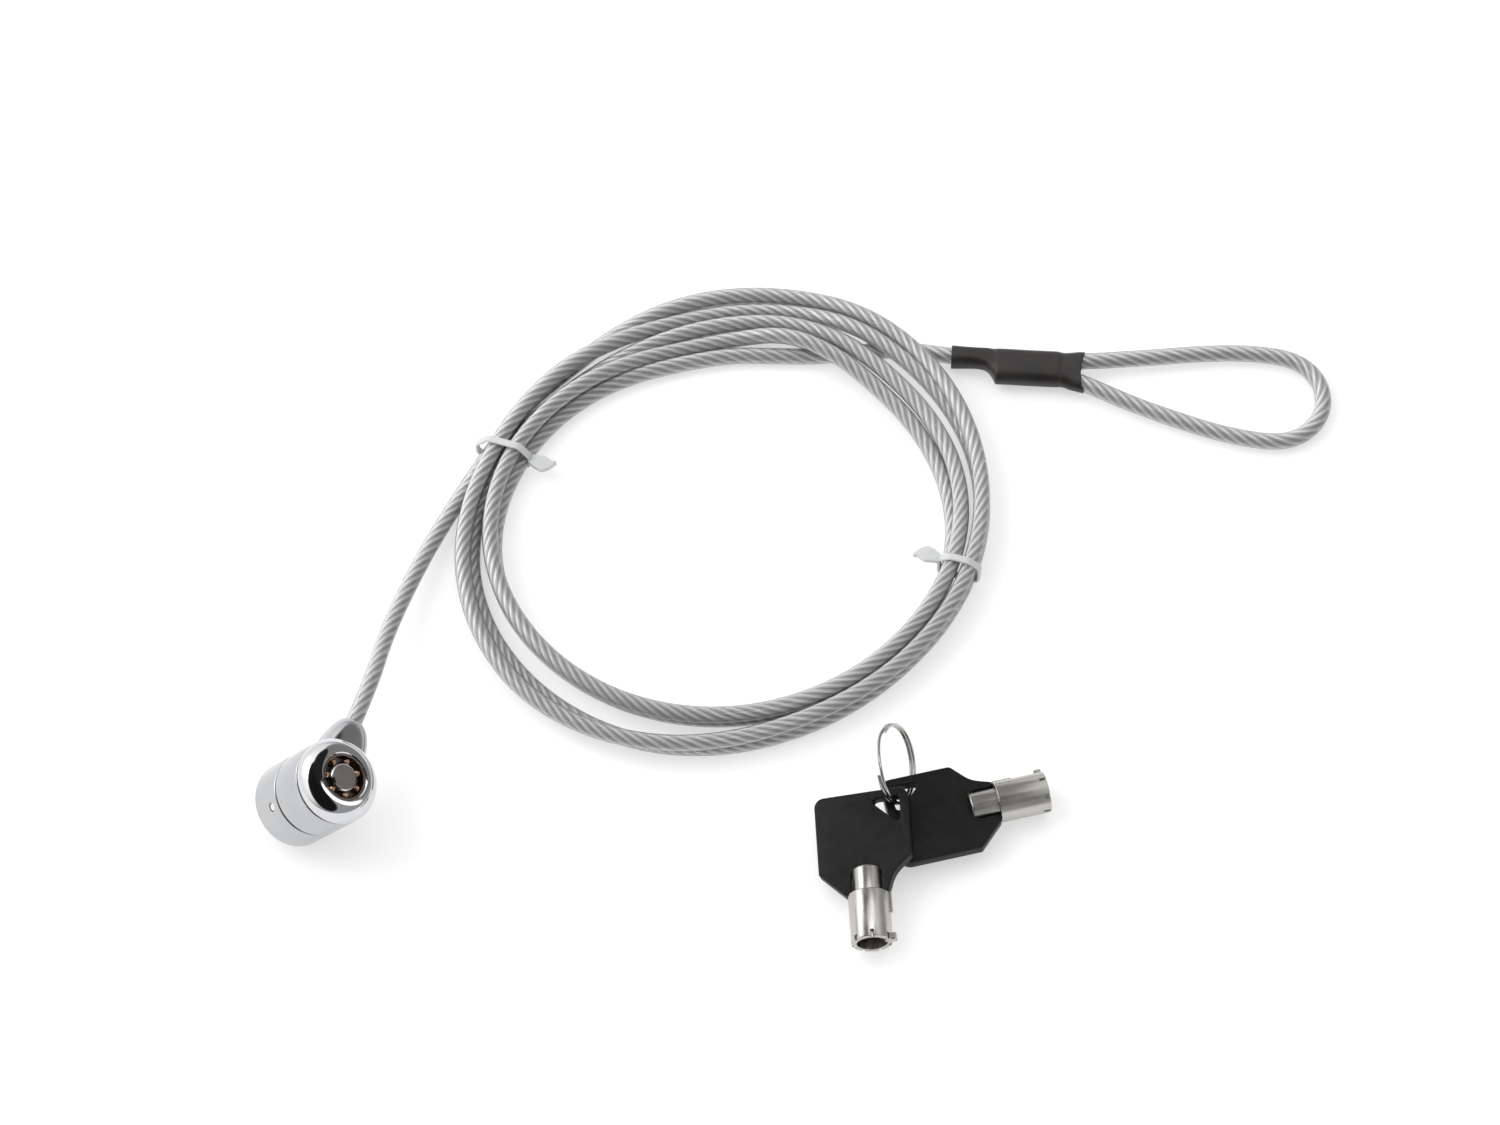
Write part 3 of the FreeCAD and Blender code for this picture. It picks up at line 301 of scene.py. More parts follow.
def soften(corners, steps=6):
    """An outline's points, in order, from corners (x, y) or (x, y, radius of the round)."""
    points = []
    for i, corner in enumerate(corners):
        here = Vector(corner[:2])
        if len(corner) == 2:
            points.append(here)
            continue
        back = (Vector(corners[i - 1][:2]) - here).normalized()
        ahead = (Vector(corners[(i + 1) % len(corners)][:2]) - here).normalized()
        half = back.angle(ahead) / 2
        centre = here + (back + ahead).normalized() * (corner[2] / math.sin(half))
        reach = corner[2] / math.tan(half)
        arms = [here + back * reach - centre, here + ahead * reach - centre]
        first, last = [math.atan2(arm.y, arm.x) for arm in arms]
        sweep = (last - first + math.pi) % (2 * math.pi) - math.pi
        for step in range(steps + 1):
            angle = first + sweep * step / steps
            points.append(centre + Vector((math.cos(angle), math.sin(angle))) * corner[2])
    return points


def finish_mesh(name, bm, where, made, body, *nodes, slot, smooth_to=35):
    """Turns a bmesh into a piece at a frame that rides on a body and stands for some nodes."""
    bmesh.ops.recalc_face_normals(bm, faces=bm.faces)
    bmesh.ops.transform(bm, matrix=Matrix.Scale(MM, 4) @ where, verts=bm.verts)
    mesh = as_mesh(name, bm)
    mesh.polygons.foreach_set("use_smooth", [True] * len(mesh.polygons))
    mesh.set_sharp_from_angle(angle=math.radians(smooth_to))
    mesh.materials.append(made)
    piece = in_scene(name, mesh)
    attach(piece, body)
    if nodes:
        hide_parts(*nodes)
    return piece


def lathe(profile, steps=144):
    """A bmesh turned about Z from a closed outline of (radius, height) points."""
    bm = bmesh.new()
    rings = []
    for i in range(steps):
        angle = 2 * math.pi * i / steps
        rings.append([bm.verts.new((p[0] * math.cos(angle), p[0] * math.sin(angle), p[1]))
                      for p in profile])
    for i, ring in enumerate(rings):
        after = rings[(i + 1) % steps]
        for j in range(len(profile)):
            k = (j + 1) % len(profile)
            bm.faces.new((ring[j], after[j], after[k], ring[k]))
    bmesh.ops.remove_doubles(bm, verts=bm.verts, dist=0.0001)
    return bm


def rod(radius, low, high, where, steps=32):
    """A bmesh cylinder along the Z of a frame."""
    return moved(lathe([(0, low), (radius, low), (radius, high), (0, high)], steps), where)


def moved(bm, where):
    bmesh.ops.transform(bm, matrix=where, verts=bm.verts)
    return bm


def eased(bm, size, segments=2):
    """A bmesh with every edge rounded."""
    bmesh.ops.bevel(bm, geom=bm.edges[:], offset=size, segments=segments, affect="EDGES")
    return bm


def merged(bm, other):
    """A bmesh with a second one's faces added, left to overlap."""
    mesh = as_mesh("merge", other)
    bm.from_mesh(mesh)
    bpy.data.meshes.remove(mesh)
    return bm


def prism(outline, low, high):
    """A bmesh of a flat outline raised between two heights."""
    bm = bmesh.new()
    floor = [bm.verts.new((p[0], p[1], low)) for p in outline]
    top = [bm.verts.new((p[0], p[1], high)) for p in outline]
    bm.faces.new(floor[::-1])
    bm.faces.new(top)
    for i in range(len(outline)):
        j = (i + 1) % len(outline)
        bm.faces.new((floor[i], floor[j], top[j], top[i]))
    return bm


def box_at(size, centre):
    """A bmesh box of a size about a centre."""
    x, y = size[0] / 2, size[1] / 2
    outline = [(centre[0] + a * x, centre[1] + b * y) for a, b in SQUARE]
    return prism(outline, centre[2] - size[2] / 2, centre[2] + size[2] / 2)


def loft(sections, looped=False):
    """A bmesh skin over rings of points that all have the same count. Its ends are capped, or
    joined to each other when it is looped."""
    bm = bmesh.new()
    rings = [[bm.verts.new(point) for point in section] for section in sections]
    for ring, after in zip(rings, rings[1:] + (rings[:1] if looped else [])):
        for j in range(len(ring)):
            k = (j + 1) % len(ring)
            bm.faces.new((ring[j], ring[k], after[k], after[j]))
    if not looped:
        bm.faces.new(rings[0][::-1])
        bm.faces.new(rings[-1])
    return bm


def carve(bm, *tools, operation="DIFFERENCE"):
    """A bmesh with other closed bmeshes taken out of it, or joined to it."""
    holder = []
    for i, shape in enumerate((bm, *tools)):
        bmesh.ops.recalc_face_normals(shape, faces=shape.faces)
        holder.append(in_scene(f"carve_{i}", as_mesh(f"carve_{i}", shape)))
    for tool in holder[1:]:
        modifier = holder[0].modifiers.new("cut", "BOOLEAN")
        modifier.object = tool
        modifier.operation = operation
        modifier.solver = "EXACT"
    depsgraph = bpy.context.evaluated_depsgraph_get()
    carved = bmesh.new()
    carved.from_object(holder[0], depsgraph)
    for thing in holder:
        mesh = thing.data
        bpy.data.objects.remove(thing)
        bpy.data.meshes.remove(mesh)
    return carved


def plate(name, outlines, thick, edge):
    """A bmesh plate from flat outlines, the later ones holes, with its edges rounded."""
    curve = bpy.data.curves.new(name, "CURVE")
    curve.dimensions = "2D"
    curve.fill_mode = "BOTH"
    curve.extrude = thick / 2 - edge
    curve.bevel_depth = edge
    curve.bevel_resolution = 3
    curve.offset = -edge
    for outline in outlines:
        spline = curve.splines.new("POLY")
        spline.points.add(len(outline) - 1)
        for control, point in zip(spline.points, outline):
            control.co = (point.x, point.y, 0, 1)
        spline.use_cyclic_u = True
    holder = in_scene(name, curve)
    bpy.context.view_layer.update()
    mesh = bpy.data.meshes.new_from_object(holder)
    bpy.data.objects.remove(holder)
    bpy.data.curves.remove(curve)
    bm = bmesh.new()
    bm.from_mesh(mesh)
    bpy.data.meshes.remove(mesh)
    bmesh.ops.remove_doubles(bm, verts=bm.verts, dist=0.0005)
    return bm


# ---- cable -------------------------------------------------------------------------------------

LEAD = [(-73.03, 17.44, 16.93), (-67.13, 34.3, 15.69), (-63.9, 53.5, 8.6), (-58.1, 71.7, 4.6),
        (-50.9, 88.5, 2.8)]
TAIL = [(39.5, 135.0, 2.1), (53.7, 136.6, 2.4), (62.9, 136.0, 3.0), (73.4, 134.08, 3.2),
        (83.88, 133.48, 3.2)]
LOOP = [(99.85, 132.56, 3.2), (118.3, 134.1, 2.7), (131.3, 135.5, 2.4), (142.8, 136.0, 2.2),
        (153.9, 134.6, 2.1), (159.6, 130.4, 2.1), (162.2, 123.8, 2.1), (160.7, 116.8, 2.1),
        (155.7, 111.8, 2.1), (148.7, 110.3, 2.1), (136.3, 112.9, 2.2), (124.8, 117.1, 2.4),
        (114.8, 121.1, 2.7), (103.0, 127.0, 3.1), (97.0, 129.2, 3.2), (83.64, 129.29, 3.2)]
# Each turn's radius and height every 30 degrees, from 165 degrees clockwise. The fifth row is the
# strand that leaves under the other four. The route has two points for each of these.
COIL_START, COIL_STEP = 165, 15
TURN_RADII = [
    (61.7, 56.6, 59.9, 63.4, 62.9, 61.0, 59.3, 58.4, 60.2, 66.6, 69.8, 66.4),
    (59.6, 56.2, 55.9, 59.1, 59.1, 61.0, 59.2, 58.0, 60.6, 65.2, 66.6, 64.2),
    (57.5, 52.0, 52.0, 54.8, 53.3, 55.2, 54.9, 54.4, 55.6, 57.9, 59.4, 59.0),
    (55.4, 50.2, 48.1, 50.5, 49.2, 51.9, 54.2, 53.9, 55.0, 56.6, 58.2, 58.6),
    (53.3, 48.0, 44.2, 46.2)]
TURN_HEIGHTS = [
    (2.1, 2.0, 3.0, 2.6, 6.1, 6.0, 6.0, 6.0, 6.0, 6.0, 4.6, 5.4),
    (5.5, 6.0, 2.2, 2.4, 6.1, 2.1, 2.0, 2.0, 2.0, 2.0, 2.0, 2.0),
    (2.0, 2.0, 3.0, 3.6, 5.6, 4.2, 6.0, 6.0, 6.0, 6.0, 6.0, 6.0),
    (5.5, 5.5, 2.1, 3.2, 4.4, 2.0, 2.0, 2.0, 2.0, 2.0, 2.0, 2.0),
    (2.0, 2.0, 2.0, 2.0)]
# The angle at which each turn crosses over the leaving strand, how high it lifts there, and how many
# degrees to either side it is still fully lifted and no longer lifted.
CROSSINGS = (47.0, 51.5, 57.5, 64.5)
STRAND_LIFT = 4.1
LIFTED_TO, DOWN_FROM = 10, 26
CABLE_R = 2.0
LAY = 19.5
STRANDS = 6


def between(values, position):
    """A smooth value between the numbers of a list."""
    index = min(int(position), len(values) - 2)
    share = position - index
    near = [values[min(max(index + k, 0), len(values) - 1)] for k in (-1, 0, 1, 2)]
    slope_a, slope_b = (near[2] - near[0]) / 2, (near[3] - near[1]) / 2
    rise = near[2] - near[1]
    return (near[1] + share * slope_a
            + share ** 2 * (3 * rise - 2 * slope_a - slope_b)
            + share ** 3 * (slope_a + slope_b - 2 * rise))


def coil_points():
    """The coil's control points, one step after its start and clockwise. They stand a little
    outside the radii, because the curve cuts inside its control points."""
    radii = [r for row in TURN_RADII for r in row]
    heights = [h for row in TURN_HEIGHTS for h in row]
    points = []
    for step in range(1, 2 * (len(radii) - 1) + 1):
        degrees = COIL_START - COIL_STEP * step
        radius, height = between(radii, step / 2), between(heights, step / 2)
        lap, gone = divmod(COIL_STEP * step, 360)
        if lap < len(CROSSINGS):
            away = abs(COIL_START - gone - CROSSINGS[lap])
            ease = min(max((DOWN_FROM - away) / (DOWN_FROM - LIFTED_TO), 0), 1)
            height = max(height, CABLE_R + STRAND_LIFT * smooth(ease))
        radius /= math.cos(math.radians(COIL_STEP / 2))
        angle = math.radians(degrees)
        points.append((COIL_CENTRE[0] + radius * math.cos(angle),
                       COIL_CENTRE[1] + radius * math.sin(angle), height))
    return points


def spline_object(name, points, radius):
    """A curve of one open NURBS spline through control points in mm, with a round section."""
    curve = bpy.data.curves.new(name, "CURVE")
    curve.dimensions = "3D"
    spline = curve.splines.new("NURBS")
    spline.points.add(len(points) - 1)
    for control, point in zip(spline.points, points):
        control.co = (*(Vector(point) * MM), 1)
    spline.order_u = 3
    spline.use_endpoint_u = True
    spline.resolution_u = 14
    curve.bevel_depth = radius * MM
    curve.bevel_resolution = 5
    curve.use_fill_caps = radius > 0
    return in_scene(name, curve)


def spline_line(points):
    """The points, in mm, of the smooth line that the same control points give."""
    probe = spline_object("probe", points, 0)
    bpy.context.view_layer.update()
    mesh = bpy.data.meshes.new_from_object(probe)
    line = [v.co / MM for v in mesh.vertices]
    curve = probe.data
    bpy.data.objects.remove(probe)
    bpy.data.curves.remove(curve)
    bpy.data.meshes.remove(mesh)
    return line


def along(line):
    """For each point of a line: its distance from the start and a frame that doesn't twist."""
    side, gone = None, 0.0
    for i, point in enumerate(line):
        ahead = (line[min(i + 1, len(line) - 1)] - line[max(i - 1, 0)]).normalized()
        if side is None:
            side = ahead.orthogonal().normalized()
        side = (side - ahead * side.dot(ahead)).normalized()
        gone += (point - line[i - 1]).length if i else 0
        yield gone, point, side, ahead.cross(side)


def make_rope(line):
    """The round strands laid right-handed under the jacket, as one fluted skin."""
    per_strand, pitch_r, strand_r = 7, 1.25, 0.63
    count = STRANDS * per_strand
    bm = bmesh.new()
    layer = bm.loops.layers.uv.new(ROPE_UV)
    rings, gone_at = [], []
    for gone, point, side, up in along(line):
        ring = []
        for k in range(count):
            off = math.radians(360 / STRANDS * ((k % per_strand) / per_strand - 0.5))
            swell = math.sqrt(max(strand_r ** 2 - (pitch_r * math.sin(off)) ** 2, 0.01))
            radius = pitch_r * math.cos(off) + swell
            angle = 2 * math.pi * (k / count + gone / LAY)
            out = side * math.cos(angle) + up * math.sin(angle)
            ring.append(bm.verts.new(point + out * radius))
        rings.append(ring)
        gone_at.append(gone)
    for i in range(len(rings) - 1):
        for k in range(count):
            after = (k + 1) % count
            corners = [(0, 0), (0, 1), (1, 1), (1, 0)]
            face = bm.faces.new([rings[i + ahead][after if next_one else k]
                                 for ahead, next_one in corners])
            for loop, (ahead, next_one) in zip(face.loops, corners):
                loop[layer].uv = (gone_at[i + ahead], (k + next_one) / per_strand)
    bm.faces.new(rings[0][::-1])
    bm.faces.new(rings[-1])
    return finish_mesh("rope", bm, Matrix(), ROPE, "cable_collar", slot="cable_jacket",
                       smooth_to=80)


def make_cable():
    route = LEAD + coil_points() + TAIL + LOOP
    cable = spline_object("cable_jacket", route, CABLE_R)
    cable.data.materials.append(JACKET)
    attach(cable, "cable_collar")
    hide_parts("cable_lead", "cable_coil", "cable_tail", "cable_loop")
    return cable, make_rope(spline_line(route))


# ---- fitting and ties --------------------------------------------------------------------------

RING_POINTS = 56
OVAL_POWER = 0.78


def oval(x, half_wide, half_tall, at, wave=0.0, phase=0.0):
    """A full oval ring across the fitting at x, uneven by a small wave."""
    points = []
    for i in range(RING_POINTS):
        angle = 2 * math.pi * i / RING_POINTS
        ripple = 1 + wave * (math.sin(3 * angle + phase) + 0.6 * math.sin(5 * angle - phase * 2))
        points.append((x, at + half_wide * squared(math.cos(angle), OVAL_POWER) * ripple,
                       half_tall * squared(math.sin(angle), OVAL_POWER) * ripple))
    return points


SLEEVE_WALL = 0.3
# Along the sleeve: distance, half width, half height, middle, and how uneven it is there.
SLEEVE = [
    (0.0, 2.7, 2.62, -0.05, 0.0), (0.3, 2.72, 2.64, -0.05, 0.01), (2.6, 2.62, 2.56, 0.0, 0.012),
    (5.0, 2.5, 2.45, 0.0, 0.02), (7.0, 2.52, 2.44, -0.05, 0.02), (8.6, 2.75, 2.44, -0.25, 0.02),
    (9.6, 3.2, 2.4, -0.7, 0.03), (10.4, 3.95, 2.35, -1.4, 0.03), (10.9, 4.6, 2.5, -2.05, 0.01),
    (11.15, 4.68, 2.78, -2.1, 0.0), (14.0, 4.62, 2.8, -2.1, 0.006), (17.0, 4.66, 2.78, -2.1, 0.01),
    (20.0, 4.62, 2.8, -2.1, 0.006), (23.0, 4.66, 2.78, -2.1, 0.008), (25.9, 4.66, 2.8, -2.12, 0.004),
    (26.3, 4.6, 2.72, -2.12, 0.0), (26.9, 4.5, 2.42, -2.14, 0.02), (27.8, 4.6, 2.4, -2.2, 0.04),
    (29.2, 4.95, 2.5, -2.4, 0.03), (30.8, 5.3, 2.55, -2.6, 0.02), (32.2, 5.6, 2.62, -2.8, 0.012)]


def make_shrink():
    """The shrink sleeve: tight on the single cable, wide over the ferrule, flared at its end."""
    outer, inner = [], []
    for n, (x, wide, tall, at, wave) in enumerate(SLEEVE):
        ring = oval(x, wide, tall, at, wave, n * 1.3)
        thin = oval(max(x, 0.05), wide - SLEEVE_WALL, tall - SLEEVE_WALL, at, wave, n * 1.3)
        if n == len(SLEEVE) - 1:
            ragged = [0.45 * math.sin(4 * math.pi * i / len(ring) + 1) + 0.22 * math.sin(i * 1.9)
                      for i in range(len(ring))]
            ring = [(x + dx, y, z) for (x, y, z), dx in zip(ring, ragged)]
            thin = [(x + dx - 0.02, y, z) for (x, y, z), dx in zip(thin, ragged)]
        outer.append(ring)
        inner.append(thin)
    piece = finish_mesh("shrink_sleeve", loft(outer + inner[::-1], looped=True), FITTING, SHRINK,
                        "cable_collar", "heat_shrink", slot="shrink_sleeve", smooth_to=50)
    soft = piece.modifiers.new("soft", "SUBSURF")
    soft.levels = soft.render_levels = 1
    return piece


def make_ferrule():
    """The crimped sleeve inside: a smooth oval tube about the two strands."""
    rings = ((11.6, 4.15), (12.0, 4.28), (26.0, 4.28), (26.4, 4.15))
    tube = loft([oval(x, wide, wide - 2.1, -2.1) for x, wide in rings])
    return finish_mesh("crimp", tube, FITTING, STEEL, "cable_collar", "crimp_ferrule",
                       slot="bare_steel")


def strap_ring(points, width, thick):
    """A flat strap swept round a closed loop of (distance, height) points in the XZ plane."""
    sections = []
    for i, point in enumerate(points):
        ahead = (points[(i + 1) % len(points)] - points[i - 1]).normalized()
        out = Vector((ahead.y, -ahead.x))
        section = []
        for side, depth in ((-1, 0), (-0.8, 0.5), (0.8, 0.5), (1, 0), (0.8, -0.5), (-0.8, -0.5)):
            spot = point + out * depth * thick
            section.append((spot.x, side * width / 2, spot.y))
        sections.append(section)
    return loft(sections, looped=True)


def make_tie(name, angle, near, far, top, shoulder):
    """A thin ribbed strap round the strands, and its lock with a cut tail inside the coil."""
    low, slope, spacing, rib, gap = 0.4, 2.8, 0.35, 0.07, -0.02
    outline = soften([
        (near, low, 1.6), (far, low, 1.6), (far, top - shoulder, 1.8), (far - slope, top, 1.8),
        (near + slope, top, 1.8), (near, top - shoulder, 1.8)], 8)
    dense = []
    for i, point in enumerate(outline):
        after = outline[(i + 1) % len(outline)]
        parts = max(int((after - point).length / spacing), 1)
        dense += [point.lerp(after, k / parts) for k in range(parts)]
    middle = sum(dense, Vector((0, 0))) / len(dense)
    ribbed = [p + (p - middle).normalized() * (rib if i % 2 else gap) for i, p in enumerate(dense)]
    strap = strap_ring(ribbed, 1.9, 0.7)
    lock = plate(name + "_lock", [soften([
        (near + 0.4, -1.0, 0.35), (near + 0.4, 1.0, 0.35), (near - 1.5, 2.1, 0.9),
        (near - 3.6, 2.7, 0.9), (near - 5.2, 1.5, 0.8), (near - 6.9, -1.0, 0.35),
        (near - 5.2, -0.7, 0.5), (near - 3.4, -1.5, 1.0), (near - 1.0, -1.0, 0.6)], 5)], 1.4, 0.2)
    whole = merged(strap, moved(lock, place(0, 0, top - shoulder - 0.8)))
    return finish_mesh(name + "_nylon", whole, place(*COIL_CENTRE, 0, turn("Z", angle)), NYLON,
                       "cable_collar", name, slot="tie_nylon", smooth_to=50)


# ---- lock head ---------------------------------------------------------------------------------

HEAD_R = 10.2
HEAD_TOP = 24.6
KEYWAY_R, KEYWAY_TOP = 5.1, 24.35
NOTCH_W = 2.2
EAR_HEIGHT = 14.7
# How far the notch's cutter runs on past the head's top.
PAST = 0.4


def index_notch(inner, outer, low, high):
    """A cutter over the keyway's index notch."""
    notch = box_at((outer - inner, NOTCH_W, high - low), ((inner + outer) / 2, 0, (low + high) / 2))
    return moved(notch, turn("Z", INDEX_ANGLE))


def make_dome():
    profile = soften([
        (5.62, 3.0), (7.0, 3.0), (7.0, 19.75), (9.3, 19.75), (9.3, 19.95), (HEAD_R, 19.95, 0.28),
        (HEAD_R, HEAD_TOP, 4.3), (5.85, HEAD_TOP, 0.05), (5.62, KEYWAY_TOP, 0.08)], 14)
    dome = carve(lathe(profile, 192), index_notch(5.0, 6.35, 22.6, HEAD_TOP + PAST))
    finish_mesh("chrome_dome", dome, HEAD, MIRROR, "head", "front_shell", slot="mirror_chrome",
                smooth_to=30)


def make_liner():
    profile = soften([
        (KEYWAY_R, 21.85), (5.58, 21.85), (5.58, KEYWAY_TOP, 0.08), (KEYWAY_R, KEYWAY_TOP, 0.2)], 5)
    wall = carve(lathe(profile, 128), index_notch(4.3, 6.2, 22.4, HEAD_TOP + PAST))
    finish_mesh("keyway_wall", wall, HEAD, DARK_METAL, "head", "keyway_liner", slot="black_zinc")


def make_post_rim():
    """The polished edge round the top of the rotor's post."""
    profile = soften([
        (2.96, 23.3), (3.42, 23.3), (3.42, 23.9, 0.1), (3.1, 24.26, 0.08), (2.96, 24.2)], 3)
    rim = carve(lathe(profile, 96), index_notch(2.4, 3.8, 22.0, HEAD_TOP + PAST))
    finish_mesh("post_rim", rim, HEAD, MIRROR, "rotor", slot="nickel", smooth_to=30)


def make_rear_cup():
    profile = soften([
        (3.03, 0.0), (HEAD_R, 0.0, 0.45), (HEAD_R, 9.5, 0.4), (9.3, 9.5), (9.3, 9.15),
        (7.04, 9.15), (7.04, 2.4), (3.03, 2.4)], 6)
    pin_frame = turn("Z", INDEX_ANGLE) @ place(8.0, 0, 6.8, turn("Y", 90))
    cup = carve(lathe(profile, 192), rod(1.07, 0, 4, pin_frame))
    finish_mesh("rear_cup", cup, HEAD, SATIN, "head", "rear_shell", slot="satin_chrome",
                smooth_to=30)
    pin = lathe(soften([(0, 0), (0.98, 0), (0.98, 2.1, 0.3), (0, 2.1)], 5), 32)
    finish_mesh("shell_pin", pin, HEAD @ pin_frame, PIN_STEEL, "head", "retaining_pin",
                slot="bare_steel")


def ear_section(y, wide, tall, power):
    """A flattened round ring across the ear at a distance from the head's axis."""
    points = []
    for i in range(RING_POINTS):
        angle = 2 * math.pi * i / RING_POINTS
        points.append((wide * squared(math.cos(angle), 2 / power), y,
                       EAR_HEIGHT + tall * squared(math.sin(angle), 2 / power)))
    return points


def make_swivel():
    """The ring and its ear, a boss that tapers to a round nose about the cable."""
    profile = soften([(7.1, 9.8), (HEAD_R, 9.8, 0.42), (HEAD_R, 19.6, 0.42), (7.1, 19.6)], 6)
    ear = loft([
        ear_section(8.2, 5.8, 4.75, 3.4), ear_section(10.5, 5.6, 4.72, 3.4),
        ear_section(12.5, 5.3, 4.65, 3.2), ear_section(14.2, 4.9, 4.45, 3.0),
        ear_section(15.8, 4.4, 4.1, 2.7), ear_section(17.0, 3.85, 3.7, 2.4),
        ear_section(17.8, 3.35, 3.3, 2.2), ear_section(18.35, 2.85, 2.85, 2.0),
        ear_section(18.6, 2.4, 2.4, 2.0)])
    bore = rod(CABLE_R + 0.06, 6.0, 21.0, place(0, 0, EAR_HEIGHT, turn("X", -90)), 48)
    whole = carve(carve(lathe(profile, 192), ear, operation="UNION"), bore)
    finish_mesh("swivel_band", whole, HEAD, SATIN, "cable_collar", "swivel_ring",
                slot="satin_chrome", smooth_to=32)


# ---- keys --------------------------------------------------------------------------------------

BOW_W, BOW_LEN, BOW_THICK = 22.4, 25.5, 3.0
BOW_EDGE = 0.38
# How deep the mouth is that holds the barrel's stem in the bow.
MOUTH = 6.5
BARREL_R, BARREL_BORE, BARREL_LEN = 4.85, 3.55, 12.2
# The seven cuts in the barrel's end: their depths, their radius and how far out their middles are.
CUT_DEPTHS = (1.0, 1.6, 0.8, 1.9, 1.2, 1.7, 1.4)
CUT_R, CUTS_AT = 0.56, 4.5


def bow_outline():
    half = BOW_W / 2
    return soften([
        (-half, -BOW_LEN, 2.4), (half, -BOW_LEN, 2.4), (half, -6.2, 0.7), (5.2, 0.0, 0.9),
        (3.7, 0.0, 0.5), (3.7, -MOUTH, 2.2), (-3.7, -MOUTH, 2.2), (-3.7, 0.0, 0.5),
        (-5.0, 0.0, 0.6), (-6.6, -4.6, 7.0), (-half, -8.5, 1.6)], 7)


def eye_outline():
    x, y = -BOW_W / 2 + 2.1, -BOW_LEN + 2.1
    return soften([(x, y, 0.8), (x + 7.4, y, 0.8), (x, y + 7.4, 0.8)], 5)


def make_key(label, where):
    bow = plate(label + "_plate", [bow_outline(), eye_outline()], BOW_THICK, BOW_EDGE)
    finish_mesh(label + "_bow_moulding", bow, where, BOW_PLASTIC, label, label + "_bow",
                slot="black_bow", smooth_to=38)
    profile = soften([
        (0, 0.1 - MOUTH), (3.5, 0.1 - MOUTH, 0.5), (3.5, 0.0), (BARREL_R, 0.0, 0.3),
        (BARREL_R, BARREL_LEN, 0.25), (BARREL_BORE, BARREL_LEN, 0.15), (BARREL_BORE, 1.8),
        (0, 1.8)], 4)
    cutters = []
    for i, depth in enumerate(CUT_DEPTHS):
        angle = math.radians(180 - 360 * (i + 0.5) / len(CUT_DEPTHS))
        spot = place(CUTS_AT * math.cos(angle), CUTS_AT * math.sin(angle), BARREL_LEN - depth)
        cutters.append(rod(CUT_R, 0, 3, spot, 24))
    tube = carve(lathe(profile, 128), *cutters)
    extras = [
        eased(box_at((1.0, 1.2, 5.0), (-4.9, 0, 2.5)), 0.12),
        eased(box_at((1.45, 1.8, 1.7), (-5.17, 0, 11.3)), 0.15),
        eased(box_at((0.95, 1.0, 2.0), (-3.48, 0, 11.1)), 0.1)]
    whole = carve(tube, *extras, operation="UNION")
    finish_mesh(label + "_steel", whole, where @ turn("X", -90), NICKEL[label], label,
                label + "_barrel", slot="nickel", smooth_to=32)


def make_split_ring():
    """Two turns of wire side by side, with a slanting step between them and two cut ends."""
    radius, wire_r, half, step, count, sides = 9.2, 0.4, 0.44, 70.0, 280, 12
    sections = []
    for i in range(count + 1):
        degrees = (720 - step) * i / count
        share = min(max((degrees - 360 + step) / step, 0), 1)
        height = -half + 2 * half * smooth(share)
        angle = math.radians(degrees)
        section = []
        for k in range(sides):
            around = 2 * math.pi * k / sides
            r = radius + wire_r * math.cos(around)
            section.append((r * math.cos(angle), r * math.sin(angle),
                            height + wire_r * math.sin(around)))
        sections.append(section)
    finish_mesh("ring_wire", loft(sections), HOOP, WIRE, "key_ring", "split_ring", slot="nickel",
                smooth_to=50)


# ---- the rest of the lock ----------------------------------------------------------------------

def dress(made, *names):
    """Gives CAD nodes that keep their own shape a material."""
    for name in names:
        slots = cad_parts[name].data.materials
        slots.clear()
        slots.append(made)


def dress_nodes():
    dress(STEEL, "bushing_pin", "pin_springs", "thrust_washer", "slot_guide", "cable_stop",
          "spindle", "t_bar", "t_bar_pin", "spindle_clip")
    key_pins = [f"key_pin_{i + 1}" for i in range(len(CUT_DEPTHS))]
    dress(BRASS, "pin_bushing", "driver_pins", *key_pins)
    dress(RUBBER, "face_pad")
    dress(WASHER, "swivel_washer")
    dress(POST_FACE, "rotor")


# ---- stage -------------------------------------------------------------------------------------

TARGET = (0.0223, 0.0781, 0.0)
CAMERA_FAR, CAMERA_UP, CAMERA_LENS, SENSOR = 1.5, 60.0, 150.0, 36.0
FLOOR_WIDE, FLOOR_HEIGHT = 6.0, -0.0004


def look_from(thing, spot, target):
    thing.location = spot
    thing.rotation_euler = (Vector(target) - Vector(spot)).to_track_quat("-Z", "Y").to_euler()


def make_camera():
    data = bpy.data.cameras.new("camera")
    data.lens, data.sensor_width = CAMERA_LENS, SENSOR
    camera = in_scene("camera", data)
    up = math.radians(CAMERA_UP)
    spot = Vector(TARGET) + Vector((0, -math.cos(up), math.sin(up))) * CAMERA_FAR
    look_from(camera, spot, TARGET)
    bpy.context.scene.camera = camera


def make_light(name, spot, size, power):
    data = bpy.data.lights.new(name, "AREA")
    data.shape, data.size, data.energy = "DISK", size, power
    look_from(in_scene(name, data), spot, TARGET)


def flat_sheet(name, wide, tall, height=0.0):
    """A flat rectangle in the scene, in metres, about its own origin."""
    bm = bmesh.new()
    bm.faces.new([bm.verts.new((x * wide / 2, y * tall / 2, height)) for x, y in SQUARE])
    return in_scene(name, as_mesh(name, bm))


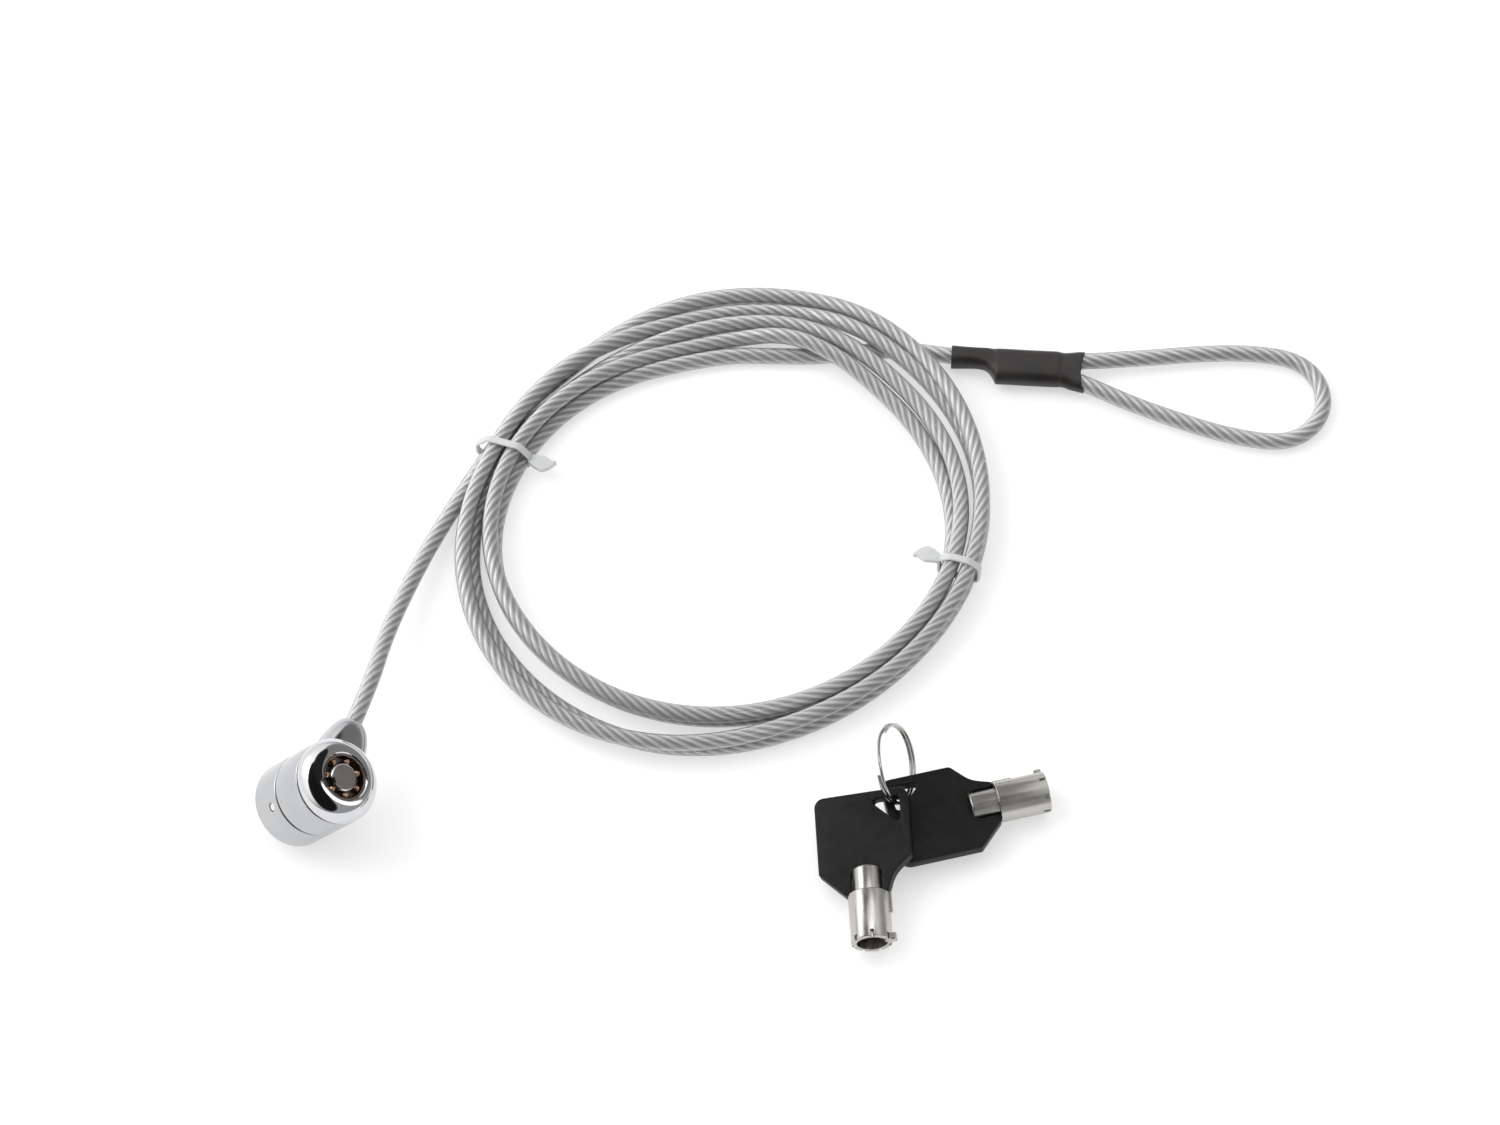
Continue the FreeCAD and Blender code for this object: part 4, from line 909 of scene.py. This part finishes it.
def make_card(name, spot, target, wide, tall, shade, core=0.6):
    """An oval studio card that only shows in reflections, clearer from its core to its edge."""
    card = flat_sheet(name, wide, tall)
    look_from(card, spot, target)
    made = material(name, (0, 0, 0), 1.0)
    away = add(made, "VectorMath", operation="LENGTH")
    join(made, stretched(made, (2 / wide, 2 / tall, 1)), away)
    fade = add(made, "MapRange", interpolation_type="SMOOTHSTEP")
    fade.inputs["From Min"].default_value = core
    join(made, away, fade, "Value")
    glow = add(made, "Emission", in_Strength=shade)
    mix = add(made, "MixShader")
    join(made, fade, mix)
    join(made, glow, mix, 0, 1)
    join(made, add(made, "BsdfTransparent"), mix, 0, 2)
    show_surface(made, mix)
    card.data.materials.append(made)
    card.visible_camera = card.visible_diffuse = card.visible_shadow = False
    card.visible_transmission = False


def facing(world, where, direction):
    """How nearly a direction in the world is a given one, from -1 to 1."""
    node = add(world, "VectorMath", operation="DOT_PRODUCT")
    node.inputs[1].default_value = Vector(direction).normalized()
    return join(world, where, node, "Generated")


def make_world():
    """A white tent, brightest from above on the left and dim low on the right, with a dim patch
    high in front."""
    world = bpy.data.worlds.new("studio")
    world.use_nodes = True
    background = world.node_tree.nodes["Background"]
    where = add(world, "TexCoord")
    ramp = add(world, "ValToRGB")
    ramp.color_ramp.interpolation = "EASE"
    stops = ramp.color_ramp.elements
    stops[0].position, stops[1].position = 0.0, 0.9
    stops[0].color, stops[1].color = (0.3, 0.305, 0.31, 1), (1, 1, 1, 1)
    stops.new(0.5).color = (0.8, 0.8, 0.8, 1)
    join(world, facing(world, where, (-0.5, 0.2, 0.85)), ramp, "Value")
    join(world, ramp, background, 0, "Color")
    dim = add(world, "MapRange", interpolation_type="SMOOTHSTEP")
    map_range(dim, 0.83, 0.96, 1.35, 0.3)
    join(world, facing(world, where, (0, -0.55, 0.83)), dim, "Value")
    join(world, dim, background, 0, "Strength")
    bpy.context.scene.world = world


def make_stage():
    """A white floor, the world, one soft light, and the cards that the metal reflects."""
    floor = flat_sheet("floor", FLOOR_WIDE, FLOOR_WIDE, FLOOR_HEIGHT)
    floor.data.materials.append(material("floor_paper", (0.6, 0.6, 0.6), 0.9,
                                         Emission_Color=(1, 1, 1, 1), Emission_Strength=0.5))
    make_world()
    make_light("key_light", (-0.9, 0.3, 1.1), 0.9, 5.0)
    head = Vector((-0.078, 0.008, 0.02))
    keys = Vector((0.06, -0.012, 0.012))
    make_card("dark_right", head + Vector((0.7, 0.52, 0.48)) * 0.16, head, 0.22, 0.17, 0.26, 0.7)
    make_card("dark_top", head + Vector((0.09, -0.46, 0.89)) * 0.158, head, 0.3, 0.5, 0.01, 0.82)
    make_card("dark_back", head + Vector((0.42, 0.34, 0.84)) * 0.155, head, 0.19, 0.19, 0.02, 0.7)
    make_card("bright_right", head + Vector((0.84, -0.06, 0.54)) * 0.14, head, 0.05, 0.13, 2.4)
    make_card("bright_left", head + Vector((-0.71, 0.4, 0.58)) * 0.3, head, 0.3, 0.26, 2.4)
    make_card("dark_keys", keys + Vector((0.1, 0.0, 1.0)) * 0.2, keys, 0.09, 0.2, 0.05)
    bpy.context.scene.view_settings.view_transform = "Standard"


cable, rope = make_cable()
sleeve, ferrule = make_shrink(), make_ferrule()
ties = [make_tie("tie_1", 163.0, 50.8, 64.2, 8.1, 3.6),
        make_tie("tie_2", -16.2, 51.8, 61.7, 8.45, 1.9)]
tuple(Vector(LEAD[0]) * MM)
make_dome()
make_liner()
make_post_rim()
make_rear_cup()
make_swivel()
for label, where in KEYS.items():
    make_key(label, where)
make_split_ring()
dress_nodes()
make_camera()
make_stage()
